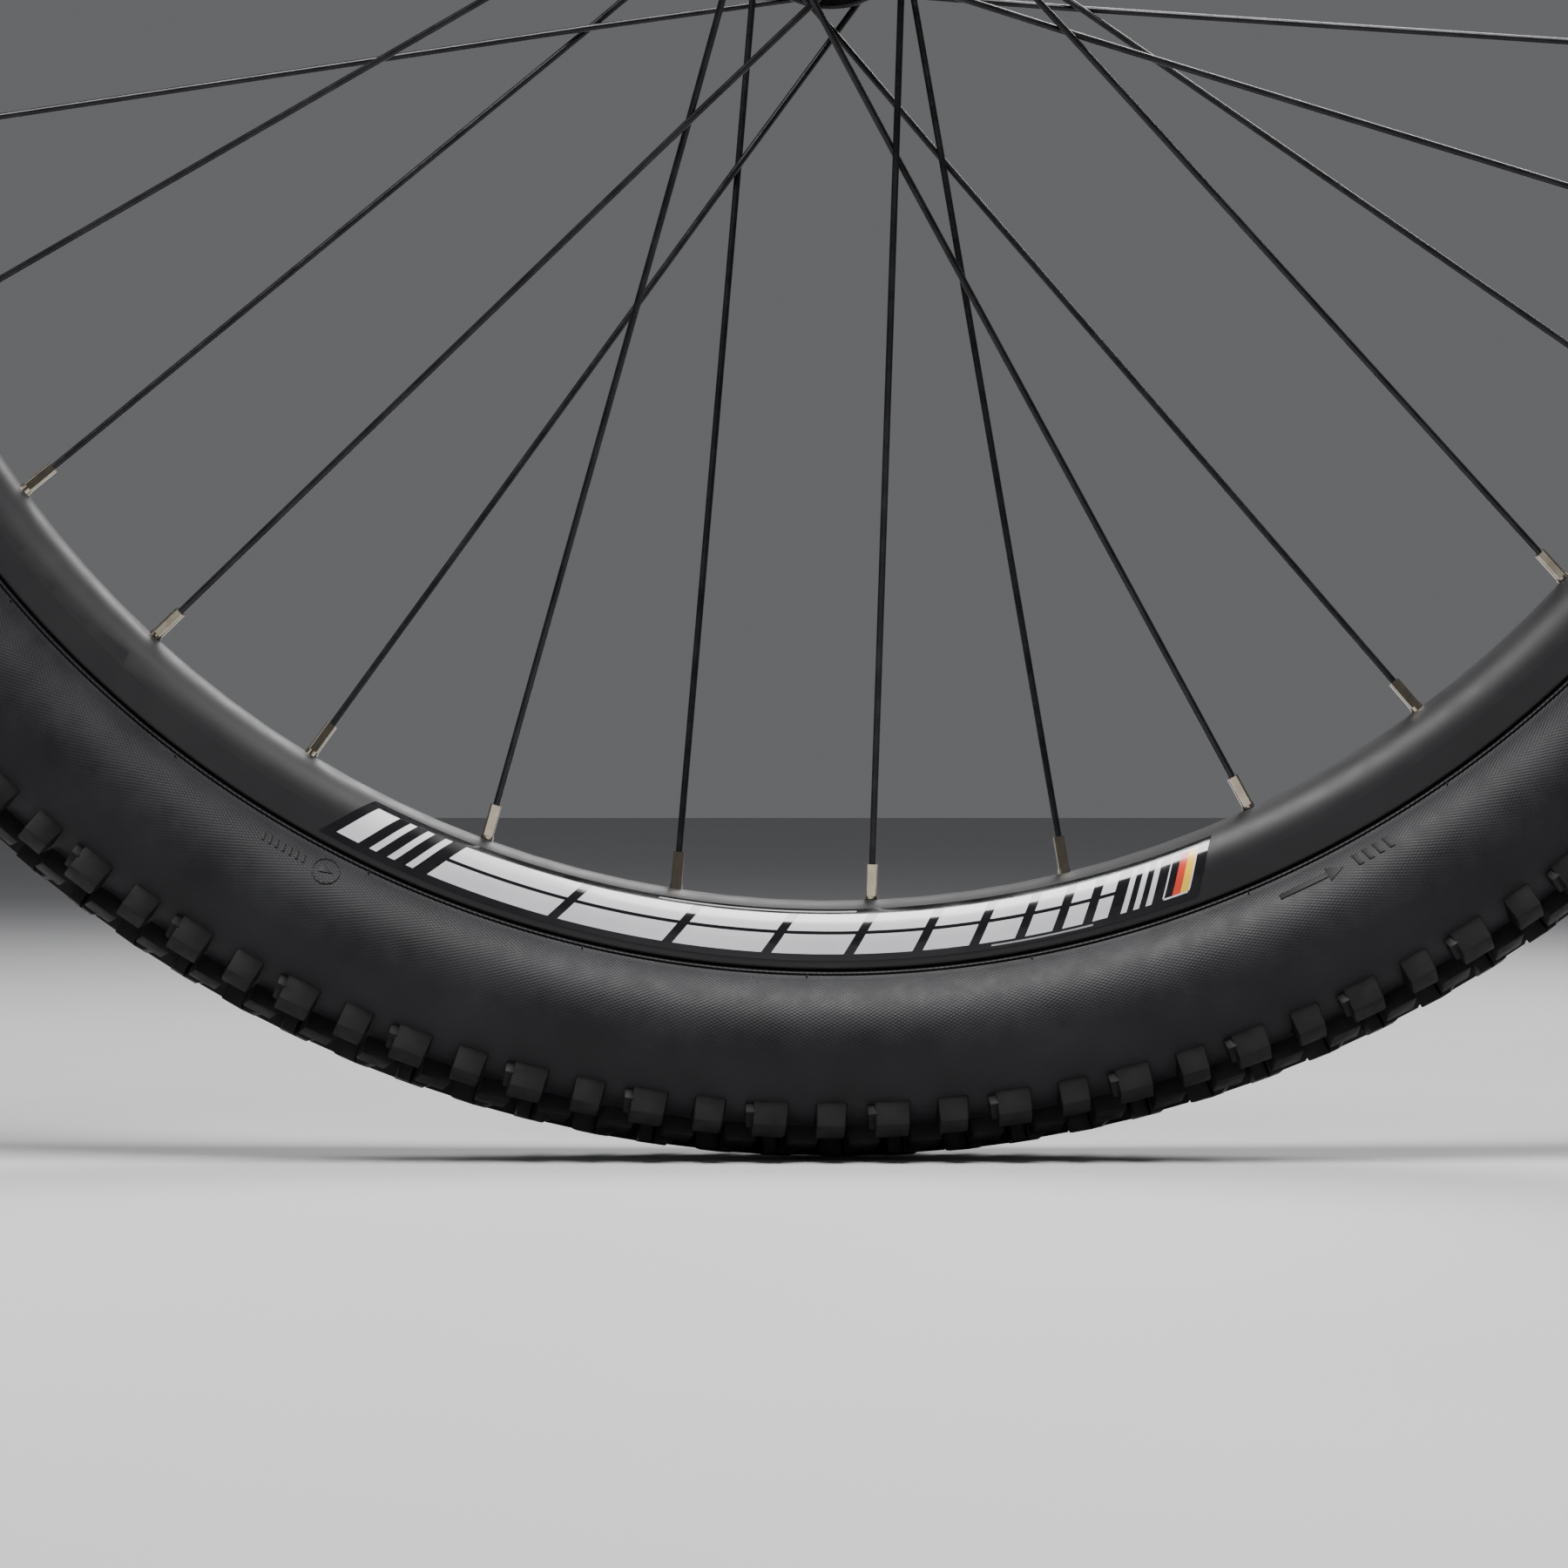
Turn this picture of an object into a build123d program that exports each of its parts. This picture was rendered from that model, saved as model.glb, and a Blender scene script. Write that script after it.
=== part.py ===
from build123d import *
import os
from math import acos, asin, cos, degrees, radians, sin, sqrt, tan

# Front wheel of a 29-inch mountain bicycle: a knobbly tyre and tube on a double-walled alloy rim, laced
# three-cross with 32 bent spokes to a through-axle hub that turns on two sealed ball bearings.
#
# Frame: millimetres, origin at the hub's centre in the rim's middle plane. +Y runs along the spin axis to
# the brake side (left), +Z is up. Wheel angles are counted from straight down towards +X.
# Every section of a turned piece is drawn in (y, radius).

os.makedirs("parts", exist_ok=True)

# ---- Rim -------------------------------------------------------------------------------------------------
bead_seat_d = 622.0      # ISO bead seat
lip_height = 6.5         # bead seat to the top of the lip
rim_width = 34.0         # outside
lip_wall = 2.5           # thickness of a lip
rim_depth = 20.0         # top of the lip to the spoke bed
bed_flat = 4.0           # flat strip that the nipples come through
lip_land = 2.0           # straight part of the far lip, above its round flank
rim_wall = 1.7
bed_wall = 2.8           # thicker wall under the nipples
well_depth = 4.0         # drop centre below the bead seats
well_top_half = 8.0
well_floor_half = 6.0
lip_round = 0.9
access_hole_d = 8.4      # holes in the tyre bed that the nipples are dropped through
valve_hole_d = 8.5
sleeve_gap = 0.3         # joint sleeve to the rim's chamber
sleeve_arc = 9.2         # degrees
tape_wall = 0.5
tape_gap = 0.05
tape_overlap = 2.2       # tape on the bead seat, past the well
decal_arc = 50.8         # degrees
decal_low = 2.5          # above the spoke bed
decal_high = 17.5
decal_wall = 0.15
decal_gap = 0.05

# ---- Lacing ----------------------------------------------------------------------------------------------
spoke_count = 32
crossings = 3
phase = -3.3             # wheel angle of the rim's joint
joint_place = 5.5        # the joint lies midway between the fifth and the sixth spoke
spoke_d = 2.0
spoke_head_d = 3.8
spoke_head_t = 1.1
spoke_hole_d = 2.6
elbow_r = 2.3            # to the middle of the wire
elbow_gap = 1.2          # wire to the flange's face
head_gap = 0.05
lace_gap = 0.3           # between two spokes where they weave past each other
lace_r = 60.0
nipple_out = 10.9        # length outside the rim
nipple_flat = 3.3        # across the spanner flats
nipple_body_d = 3.9
nipple_head_d = 5.2
nipple_head_t = 2.4
nipple_collar = 1.3      # round part that shows below the rim
nipple_seat_gap = 0.4    # the leaning head's underside to the bed
nipple_hole_d = 4.4
nipple_slot_w = 0.9
nipple_slot_t = 0.8
thread_gap = 0.05        # radial, spoke in nipple
spoke_past_bed = 2.0     # how far the spoke reaches past the outside of the bed

# ---- Tyre and tube ---------------------------------------------------------------------------------------
tyre_width = 60.0        # casing
casing_wall = 2.0
flare_above_lip = 1.34   # where the sidewall leaves the rim
flare_inside_wall = 0.66
shoulder_arc_r = 22.0
shoulder_angle = 60.0    # where the shoulder arc meets the crown arc
tread_height = 5.9
bead_width = 3.7
bead_gap = 0.2           # bead to the lip
bead_seat_gap = 0.15
bead_chamfer = 1.0
bead_height = 5.9
bead_inner_height = 3.0
bead_wire_d = 1.7
bead_wire_gap = 0.05
centre_rib_half = 6.4
rib_groove = 4.2
middle_rib = 6.4
rib_root = 1.0           # how deep a rib's root lies in the casing
shoulder_rib_in = 21.0
shoulder_rib_low = 32.0  # degrees on the shoulder arc
shoulder_rib_edge = 42.0
shoulder_rib_lift = 7.0
tube_gap = 0.4
tube_wall = 0.9

# ---- Valve -----------------------------------------------------------------------------------------------
valve_out = 32.0         # length outside the rim
stem_d = 7.7
stem_bore_d = 5.2
stem_base_d = 13.0
stem_base_t = 1.6
stem_cone_t = 1.6
tube_port_d = 3.0
core_d = 5.1
core_set_back = 1.0      # core below the stem's mouth
core_length = 18.0
core_guide_d = 1.9
core_chamber_d = 4.0
core_cap_t = 5.0
core_floor_t = 4.0
pin_d = 1.6
pin_tip_back = 0.4
pin_collar_d = 3.4
pin_collar_t = 0.8
pin_seal_d = 4.2
pin_seal_t = 1.4
spring_wire_d = 0.36
spring_mean_d = 2.9
spring_turns = 6
spring_gap = 0.12
cap_d = 10.4
cap_bore_d = 8.0
cap_length = 12.0
cap_top_t = 1.6
cap_flutes = 12
cap_flute_d = 1.5

# ---- Hub -------------------------------------------------------------------------------------------------
hub_width = 110.0        # over the end caps
axle_hole_d = 15.1
near_flange_back = 18.0  # right flange, in from the cap's face
far_flange_back = 27.5   # left flange, in from the cap's face
flange_pcd = 45.0
flange_edge = 4.5        # hole circle to the flange's rim
flange_t = 3.2
flange_round = 1.0
bevel_land = 0.2         # flat of the outer face past the spoke heads
bevel_depth = 1.1        # how far the outer face falls away at the rim
barrel_d = 31.0
barrel_root_d = 36.0
barrel_flare = 12.0      # length over which the barrel widens to a flange
root_fillet = 1.2        # barrel into flange
waist_fillet = 8.0       # along the barrel
shell_end_round = 0.8
seat_fillet = 1.5        # flange into the rotor seat's back
seat_edge_round = 0.6
spigot_round = 0.5
bearing_bore = 17.0
bearing_od = 26.0
bearing_width = 5.0
near_bearing_back = 13.5 # middle of the right bearing, in from the cap's face
far_bearing_back = 16.5  # middle of the left bearing, in from the cap's face
track_depth = 0.44       # how far the balls lie in each race
ball_d = 2.38
ball_count = 17
ball_gap = 0.04
cage_half = 0.5          # radial
cage_width = 2.9
pocket_gap = 0.06
bearing_seal_t = 0.4
bearing_seal_inset = 0.1
running_gap = 0.05
press_gap = 0.02
shell_bore_gap = 1.1     # hub shell to the axle's middle
seal_t = 1.0
seal_inset = 0.4
shell_past_seal = 0.2
shell_end_wall = 2.3
axle_shoulder_d = 19.6
axle_fit = 0.03
axle_inset = 3.0         # axle's end inside the cap's face
cap_land_d = 21.0
cap_nose_t = 0.3
cap_chamfer = 0.8
o_ring_d = 0.5
o_ring_groove = 0.57
o_ring_groove_w = 1.0
o_ring_back = 2.6        # from the axle's end
rotor_seat_back = 15.5   # face that the brake disc rests on, in from the cap's face
rotor_seat_d = 43.0
rotor_seat_t = 2.4
spigot_back = 7.5        # spigot's end, in from the cap's face
spline_d = 34.4
spline_count = 20
spline_groove_w = 1.6
spline_groove_t = 1.0
lockring_d = 29.0

# ---- Worked-out places -----------------------------------------------------------------------------------
seat_r = bead_seat_d / 2
lip_r = seat_r + lip_height
bed_r = lip_r - rim_depth
wall_y = rim_width / 2
inner_y = wall_y - lip_wall
flank_far = rim_depth - lip_land
flank_near = rim_width - bed_flat - flank_far
near_centre = (-wall_y + flank_near, bed_r + flank_near)
far_centre = (wall_y - flank_far, bed_r + flank_far)
bed_y = near_centre[0] + bed_flat / 2
well_r = seat_r - well_depth

cap_face = hub_width / 2
flange_near = cap_face - near_flange_back
flange_far = cap_face - far_flange_back
bearing_near = cap_face - near_bearing_back
bearing_far = cap_face - far_bearing_back
rotor_seat = cap_face - rotor_seat_back
spigot_end = cap_face - spigot_back
race_half = (bearing_od - bearing_bore) / 4 - ball_d / 2 + track_depth   # radial height of each race

spoke_pitch = 360 / spoke_count
cross_swing = crossings * 2 * spoke_pitch
spoke_r = spoke_d / 2
hole_circle_r = flange_pcd / 2
valve_angle = phase + 180


def radial(angle, radius, y=0.0):
    """Point at a wheel angle, a radius and a place along the spin axis."""
    return Vector(radius * sin(radians(angle)), y, -radius * cos(radians(angle)))


def section_plane(angle):
    """Half plane through the spin axis at a wheel angle: x along +Y, y outwards."""
    return Plane(origin=(0, 0, 0), x_dir=(0, 1, 0), z_dir=Vector(0, 1, 0).cross(radial(angle, 1)))


def drill_plane(angle, radius, y):
    """Plane square to a radius, its normal pointing outwards."""
    return Plane(origin=radial(angle, radius, y), z_dir=radial(angle, 1))


# ---- Rim: one extruded section rolled into a hoop ---------------------------------------------------------
def draw_chamber(gap):
    """Outline of the rim's chamber, drawn gap inside its walls."""
    inset = rim_wall + gap
    near_r = flank_near - inset
    far_r = flank_far - inset
    floor_r = bed_r + bed_wall + gap
    roof_r = seat_r - inset
    near_floor = degrees(asin((near_centre[1] - floor_r) / near_r))
    near_roof = degrees(asin((near_centre[1] - roof_r) / near_r))
    far_floor = degrees(asin((far_centre[1] - floor_r) / far_r))
    far_roof = degrees(asin((far_centre[1] - roof_r) / far_r))
    near = CenterArc(near_centre, near_r, 180 + near_roof, near_floor - near_roof)
    far = CenterArc(far_centre, far_r, 360 - far_floor, far_floor - far_roof)
    Line(near @ 1, far @ 0)
    Polyline(
        far @ 1,
        (well_top_half + inset / 2, roof_r),
        (well_floor_half + inset / 2, well_r - inset),
        (-well_floor_half - inset / 2, well_r - inset),
        (-well_top_half - inset / 2, roof_r),
        near @ 0,
    )


# ---- Spoke routes: hub hole, elbow, weave past the crossing spoke, nipple ---------------------------------
class SpokeRoute:
    """One spoke's run, from its head in a flange to its nipple in the rim."""

    def __init__(self, number):
        self.on_near_flange = number % 2 == 0
        leans_left = number % 4 in (0, 1)
        swing = -1 if leans_left else 1
        outward = -1 if self.on_near_flange else 1
        flange_y = -flange_near if self.on_near_flange else flange_far
        elbow_outside = leans_left == self.on_near_flange
        elbow_side = outward if elbow_outside else -outward
        rim_angle = phase + spoke_pitch * (number - joint_place)
        hub_angle = rim_angle + swing * cross_swing
        self.hub_angle = hub_angle
        self.rim_angle = rim_angle
        self.flange_y = flange_y
        elbow_y = flange_y + elbow_side * (flange_t / 2 + spoke_r + elbow_gap)
        head_y = flange_y - elbow_side * (flange_t / 2 + head_gap)
        self.head_axis = Vector(0, -elbow_side, 0)
        self.head_seat = radial(hub_angle, hole_circle_r, head_y)
        self.elbow = radial(hub_angle, hole_circle_r, elbow_y)
        self.bed = radial(rim_angle, bed_r, bed_y)
        hub_turn = radians(cross_swing - spoke_pitch)
        hub_part = hole_circle_r * sin(hub_turn)
        share = hub_part / (hub_part + bed_r * sin(radians(spoke_pitch)))
        hub_point = radial(hub_angle, hole_circle_r, flange_y)
        weave = Vector(0, -elbow_side * (spoke_r + lace_gap / 2), 0)
        self.crossing = hub_point + (self.bed - hub_point) * share + weave
        self.direction = (self.bed - self.crossing).normalized()
        self.end = self.bed + self.direction * spoke_past_bed
        self.nipple_plane = Plane(origin=self.bed, z_dir=self.direction)


routes = [SpokeRoute(number) for number in range(1, spoke_count + 1)]
nipple_planes = [route.nipple_plane for route in routes]
access_planes = [drill_plane(route.rim_angle, well_r, bed_y / 2) for route in routes]
valve_plane = drill_plane(valve_angle, well_r, 0)

with BuildPart() as rim:
    with BuildSketch(Plane.YZ):
        with BuildLine():
            near_flank = CenterArc(near_centre, flank_near, 180, 90)
            far_flank = CenterArc(far_centre, flank_far, 270, 90)
            Line(near_flank @ 1, far_flank @ 0)
            FilletPolyline(
                far_flank @ 1,
                (wall_y, lip_r),
                (inner_y, lip_r),
                (inner_y, seat_r),
                (well_top_half, seat_r),
                (well_floor_half, well_r),
                (-well_floor_half, well_r),
                (-well_top_half, seat_r),
                (-inner_y, seat_r),
                (-inner_y, lip_r),
                (-wall_y, lip_r),
                near_flank @ 0,
                radius=[lip_round, lip_round, 0, 0, 0, 0, 0, 0, lip_round, lip_round],
            )
        make_face()
        with BuildLine():
            draw_chamber(0)
        make_face(mode=Mode.SUBTRACT)
    revolve(axis=Axis.Y)
    with Locations(*nipple_planes):
        Cylinder(nipple_hole_d / 2, 2 * (bed_wall + rim_wall), mode=Mode.SUBTRACT)
    with Locations(*access_planes):
        Cylinder(access_hole_d / 2, 2 * well_depth, mode=Mode.SUBTRACT)
    with Locations(valve_plane):
        Cylinder(valve_hole_d / 2, 2 * rim_depth, mode=Mode.SUBTRACT)
rim.part.label = "rim"
export_step(rim.part, "parts/rim.step")

with BuildPart() as rim_joint_sleeve:
    with BuildSketch(section_plane(phase + sleeve_arc / 2)):
        with BuildLine():
            draw_chamber(sleeve_gap)
        make_face()
    revolve(axis=Axis.Y, revolution_arc=sleeve_arc)
rim_joint_sleeve.part.label = "rim_joint_sleeve"
export_step(rim_joint_sleeve.part, "parts/rim_joint_sleeve.step")

with BuildPart() as rim_tape:
    with BuildSketch(Plane.YZ):
        with BuildLine():
            tape_low = seat_r + tape_gap
            tape_floor = well_r + tape_gap
            tape_edge = well_top_half + tape_overlap
            Polyline(
                (0, tape_floor),
                (well_floor_half - tape_gap, tape_floor),
                (well_top_half - tape_gap, tape_low),
                (tape_edge, tape_low),
                (tape_edge, tape_low + tape_wall),
                (well_top_half - tape_gap - tape_wall / 2, tape_low + tape_wall),
                (well_floor_half - tape_gap - tape_wall / 2, tape_floor + tape_wall),
                (0, tape_floor + tape_wall),
                close=True,
            )
        make_face()
        mirror(about=Plane.YZ)
    revolve(axis=Axis.Y)
    with Locations(valve_plane):
        Cylinder(valve_hole_d / 2, 2 * well_depth, mode=Mode.SUBTRACT)
rim_tape.part.label = "rim_tape"
export_step(rim_tape.part, "parts/rim_tape.step")


def draw_decal_band(centre, flank_r, low_angle, high_angle):
    """Thin skin that follows a round flank between two angles."""
    inner = CenterArc(centre, flank_r + decal_gap, low_angle, high_angle - low_angle)
    outer = CenterArc(centre, flank_r + decal_gap + decal_wall, low_angle, high_angle - low_angle)
    Line(inner @ 0, outer @ 0)
    Line(inner @ 1, outer @ 1)


decal_low_near = degrees(asin((flank_near - decal_low) / flank_near))
decal_low_far = degrees(asin((flank_far - decal_low) / flank_far))
decal_high_far = degrees(asin(max(flank_far - decal_high, 0) / flank_far))

with BuildPart() as rim_decals:
    for middle in (phase, valve_angle):
        with BuildSketch(section_plane(middle + decal_arc / 2)):
            with BuildLine():
                draw_decal_band(near_centre, flank_near, 180 + decal_low_near, 180)
            make_face()
            with Locations((-wall_y - decal_gap - decal_wall / 2, near_centre[1])):
                Rectangle(decal_wall, decal_high - flank_near, align=(Align.CENTER, Align.MIN))
        revolve(axis=Axis.Y, revolution_arc=decal_arc)
        with BuildSketch(section_plane(middle + decal_arc / 2)):
            with BuildLine():
                draw_decal_band(far_centre, flank_far, 360 - decal_low_far, 360 - decal_high_far)
            make_face()
        revolve(axis=Axis.Y, revolution_arc=decal_arc)
rim_decals.part.label = "rim_decals"
export_step(rim_decals.part, "parts/rim_decals.step")

# ---- Nipples: one turned and milled part, repeated at every spoke -----------------------------------------
nipple_head_z = bed_wall + nipple_seat_gap

with BuildPart() as nipple:
    with BuildSketch(Plane.XY.offset(-nipple_out)):
        RectangleRounded(nipple_flat, nipple_flat, nipple_flat / 5)
    extrude(amount=nipple_out - nipple_collar)
    with BuildSketch(Plane.XY.offset(-nipple_collar)):
        Circle(nipple_body_d / 2)
    extrude(amount=nipple_collar + nipple_head_z)
    with BuildSketch(Plane.XY.offset(nipple_head_z)):
        Circle(nipple_head_d / 2)
    extrude(amount=nipple_head_t)
    with BuildSketch(Plane.XY.offset(-nipple_out)):
        Circle(spoke_r + thread_gap)
    extrude(amount=nipple_out + spoke_past_bed + nipple_seat_gap, mode=Mode.SUBTRACT)
    with BuildSketch(Plane.XY.offset(nipple_head_z + nipple_head_t)):
        Rectangle(nipple_head_d, nipple_slot_w)
    extrude(amount=-nipple_slot_t, mode=Mode.SUBTRACT)

with BuildPart() as spoke_nipples:
    with Locations(*nipple_planes):
        add(nipple.part)
spoke_nipples.part.label = "spoke_nipples"
export_step(spoke_nipples.part, "parts/spoke_nipples.step")

# ---- Spokes: head, bent neck, and a run that weaves past its outermost crossing ---------------------------
for number, route in enumerate(routes, start=1):
    with BuildPart() as spoke:
        with BuildLine() as run:
            FilletPolyline(
                route.head_seat, route.elbow, route.crossing, route.end, radius=[elbow_r, lace_r]
            )
        with BuildSketch(Plane(origin=route.head_seat, z_dir=-route.head_axis)):
            Circle(spoke_r)
        sweep(path=run.wires()[0])
        with BuildSketch(Plane(origin=route.head_seat, z_dir=route.head_axis)):
            Circle(spoke_head_d / 2)
        extrude(amount=spoke_head_t)
    spoke.part.label = f"spoke_{number:02d}"
    export_step(spoke.part, f"parts/{spoke.part.label}.step")

# ---- Tyre: casing and tread in one moulding, on two bead wires --------------------------------------------
casing_half_w = tyre_width / 2
flare_point_y = wall_y - flare_inside_wall
flare_angle = degrees(acos(flare_point_y / casing_half_w))
casing_r = lip_r + flare_above_lip + sqrt(casing_half_w**2 - flare_point_y**2)
shoulder_y = casing_half_w - shoulder_arc_r
crown_drop = shoulder_y * tan(radians(shoulder_angle))
crown_arc_r = shoulder_arc_r + shoulder_y / cos(radians(shoulder_angle))
bead_heel = inner_y - bead_gap
bead_toe = bead_heel - bead_width
bead_foot = seat_r + bead_seat_gap
bead_wire_place = (bead_heel - bead_width / 2, bead_foot + bead_wire_d * 4 / 3)


def draw_casing_half(inset):
    """The casing's three tangent arcs from the rim to the crown, drawn inset inside its outer face."""
    side = CenterArc((0, casing_r), casing_half_w - inset, -flare_angle, flare_angle)
    CenterArc((shoulder_y, casing_r), shoulder_arc_r - inset, 0, shoulder_angle)
    crown_centre = (0, casing_r - crown_drop)
    crown = CenterArc(crown_centre, crown_arc_r - inset, shoulder_angle, 90 - shoulder_angle)
    return side @ 0, crown @ 1


def on_casing(y, lift):
    """Point lift above the casing's outer face, at a distance y from the middle plane."""
    on_crown = casing_r - crown_drop + sqrt((crown_arc_r + lift) ** 2 - y**2)
    return (y, on_crown)


def on_shoulder(angle, lift):
    """Point lift above the shoulder arc at an angle on that arc."""
    reach = shoulder_arc_r + lift
    return (shoulder_y + reach * cos(radians(angle)), casing_r + reach * sin(radians(angle)))


shoulder_in_root = degrees(acos((shoulder_rib_in - shoulder_y) / (shoulder_arc_r - rib_root)))
shoulder_in_top = degrees(acos((shoulder_rib_in - shoulder_y) / (shoulder_arc_r + tread_height)))
middle_rib_in = centre_rib_half + rib_groove
middle_rib_out = middle_rib_in + middle_rib
tyre_r = casing_r - crown_drop + crown_arc_r + tread_height

with BuildPart() as tyre:
    with BuildSketch(Plane.YZ):
        with BuildLine():
            outer_foot, outer_crown = draw_casing_half(0)
            inner_foot, inner_crown = draw_casing_half(casing_wall)
            Line(inner_crown, outer_crown)
            Polyline(
                outer_foot,
                (bead_heel, bead_foot + bead_height),
                (bead_heel, bead_foot + bead_chamfer),
                (bead_heel - bead_chamfer, bead_foot),
                (bead_toe, bead_foot),
                (bead_toe, bead_foot + bead_inner_height),
                (bead_toe + casing_wall, bead_foot + bead_height + casing_wall / 2),
                inner_foot,
            )
        make_face()
        with Locations(bead_wire_place):
            Circle(bead_wire_d / 2 + bead_wire_gap, mode=Mode.SUBTRACT)
        Polygon(
            on_casing(0, -rib_root),
            on_casing(centre_rib_half, -rib_root),
            on_casing(centre_rib_half, tread_height),
            on_casing(0, tread_height),
            align=None,
        )
        Polygon(
            on_casing(middle_rib_in, -rib_root),
            on_casing(middle_rib_out, -rib_root),
            on_casing(middle_rib_out, tread_height),
            on_casing(middle_rib_in, tread_height),
            align=None,
        )
        Polygon(
            on_shoulder(shoulder_in_root, -rib_root),
            on_shoulder(shoulder_rib_low, -rib_root),
            on_shoulder(shoulder_rib_low, 0),
            on_shoulder(shoulder_rib_edge, shoulder_rib_lift),
            on_shoulder(shoulder_in_top, tread_height),
            align=None,
        )
        mirror(about=Plane.YZ)
    revolve(axis=Axis.Y)
tyre.part.label = "tyre"
export_step(tyre.part, "parts/tyre.step")

with BuildPart() as bead_wires:
    with BuildSketch(Plane.YZ):
        with Locations(bead_wire_place):
            Circle(bead_wire_d / 2)
        mirror(about=Plane.YZ)
    revolve(axis=Axis.Y)
bead_wires.part.label = "bead_wires"
export_step(bead_wires.part, "parts/bead_wires.step")

tube_foot_r = seat_r + tape_gap + tape_wall + tube_gap

with BuildPart() as inner_tube:
    with BuildSketch(Plane.YZ):
        with BuildLine():
            tube_foot, tube_crown = draw_casing_half(casing_wall + tube_gap)
            Polyline(
                tube_foot,
                (bead_toe + casing_wall - tube_gap, bead_foot + bead_height + casing_wall / 2 + tube_gap),
                (bead_toe - tube_gap, bead_foot + bead_inner_height + tube_gap),
                (bead_toe - tube_gap, tube_foot_r),
                (0, tube_foot_r),
                tube_crown,
            )
        make_face()
        mirror(about=Plane.YZ)
        offset(amount=-tube_wall, kind=Kind.INTERSECTION, mode=Mode.SUBTRACT)
    revolve(axis=Axis.Y)
    with Locations(drill_plane(valve_angle, tube_foot_r, 0)):
        Cylinder(tube_port_d / 2, 4 * tube_wall, mode=Mode.SUBTRACT)
inner_tube.part.label = "inner_tube"
export_step(inner_tube.part, "parts/inner_tube.step")

# ---- Valve: sections are drawn in (radius, height), height 0 at the stem's mouth, up towards the tyre ------
stem_mouth_r = bed_r - valve_out
stem_top = tube_foot_r - stem_mouth_r - tape_gap
core_top = core_set_back + core_length
valve_section = Plane(
    origin=radial(valve_angle, stem_mouth_r), x_dir=(0, 1, 0), z_dir=Vector(0, 1, 0).cross(radial(valve_angle, 1))
)
valve_axis = Axis(radial(valve_angle, stem_mouth_r), radial(valve_angle, 1))

with BuildPart() as valve_stem:
    with BuildSketch(valve_section):
        Polygon(
            (stem_bore_d / 2, 0),
            (stem_d / 2, 0),
            (stem_d / 2, stem_top - stem_base_t - stem_cone_t),
            (stem_base_d / 2, stem_top - stem_base_t),
            (stem_base_d / 2, stem_top),
            (stem_bore_d / 2, stem_top),
            align=None,
        )
    revolve(axis=valve_axis)
valve_stem.part.label = "valve_stem"
export_step(valve_stem.part, "parts/valve_stem.step")

with BuildPart() as valve_core:
    with BuildSketch(valve_section):
        Polygon(
            (core_guide_d / 2, core_set_back),
            (core_d / 2, core_set_back),
            (core_d / 2, core_top),
            (core_guide_d / 2, core_top),
            (core_guide_d / 2, core_top - core_floor_t),
            (core_chamber_d / 2, core_top - core_floor_t),
            (core_chamber_d / 2, core_set_back + core_cap_t),
            (core_guide_d / 2, core_set_back + core_cap_t),
            align=None,
        )
    revolve(axis=valve_axis)
valve_core.part.label = "valve_core"
export_step(valve_core.part, "parts/valve_core.step")

collar_low = core_set_back + core_cap_t + running_gap
collar_top = collar_low + pin_collar_t
seal_low = core_top + running_gap

with BuildPart() as valve_pin:
    with BuildSketch(valve_section):
        Polygon(
            (0, pin_tip_back),
            (pin_d / 2, pin_tip_back),
            (pin_d / 2, collar_low),
            (pin_collar_d / 2, collar_low),
            (pin_collar_d / 2, collar_top),
            (pin_d / 2, collar_top),
            (pin_d / 2, seal_low),
            (pin_seal_d / 2, seal_low),
            (pin_seal_d / 2, seal_low + pin_seal_t),
            (0, seal_low + pin_seal_t),
            align=None,
        )
    revolve(axis=valve_axis)
valve_pin.part.label = "valve_pin"
export_step(valve_pin.part, "parts/valve_pin.step")

spring_low = collar_top + spring_gap + spring_wire_d / 2
spring_high = core_top - core_floor_t - spring_gap - spring_wire_d / 2
spring_pitch = (spring_high - spring_low) / spring_turns

with BuildPart() as valve_spring:
    with BuildLine() as coil:
        Helix(
            pitch=spring_pitch,
            height=spring_high - spring_low,
            radius=spring_mean_d / 2,
            center=valve_axis.position + valve_axis.direction * spring_low,
            direction=valve_axis.direction,
        )
    with BuildSketch(Plane(origin=coil.edges()[0] @ 0, z_dir=coil.edges()[0] % 0)):
        Circle(spring_wire_d / 2)
    sweep(path=coil.wires()[0], is_frenet=True)
valve_spring.part.label = "valve_spring"
export_step(valve_spring.part, "parts/valve_spring.step")

cap_roof = cap_top_t + core_set_back
with BuildPart() as valve_cap:
    with BuildSketch(valve_section):
        Polygon(
            (0, -cap_roof),
            (cap_d / 2, -cap_roof),
            (cap_d / 2, cap_length - cap_roof),
            (cap_bore_d / 2, cap_length - cap_roof),
            (cap_bore_d / 2, -core_set_back),
            (0, -core_set_back),
            align=None,
        )
    revolve(axis=valve_axis)
    with BuildSketch(drill_plane(valve_angle, stem_mouth_r - cap_roof, 0)):
        with PolarLocations(cap_d / 2 + cap_flute_d / 4, cap_flutes):
            Circle(cap_flute_d / 2)
    extrude(amount=cap_length, mode=Mode.SUBTRACT)
valve_cap.part.label = "valve_cap"
export_step(valve_cap.part, "parts/valve_cap.step")

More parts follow.
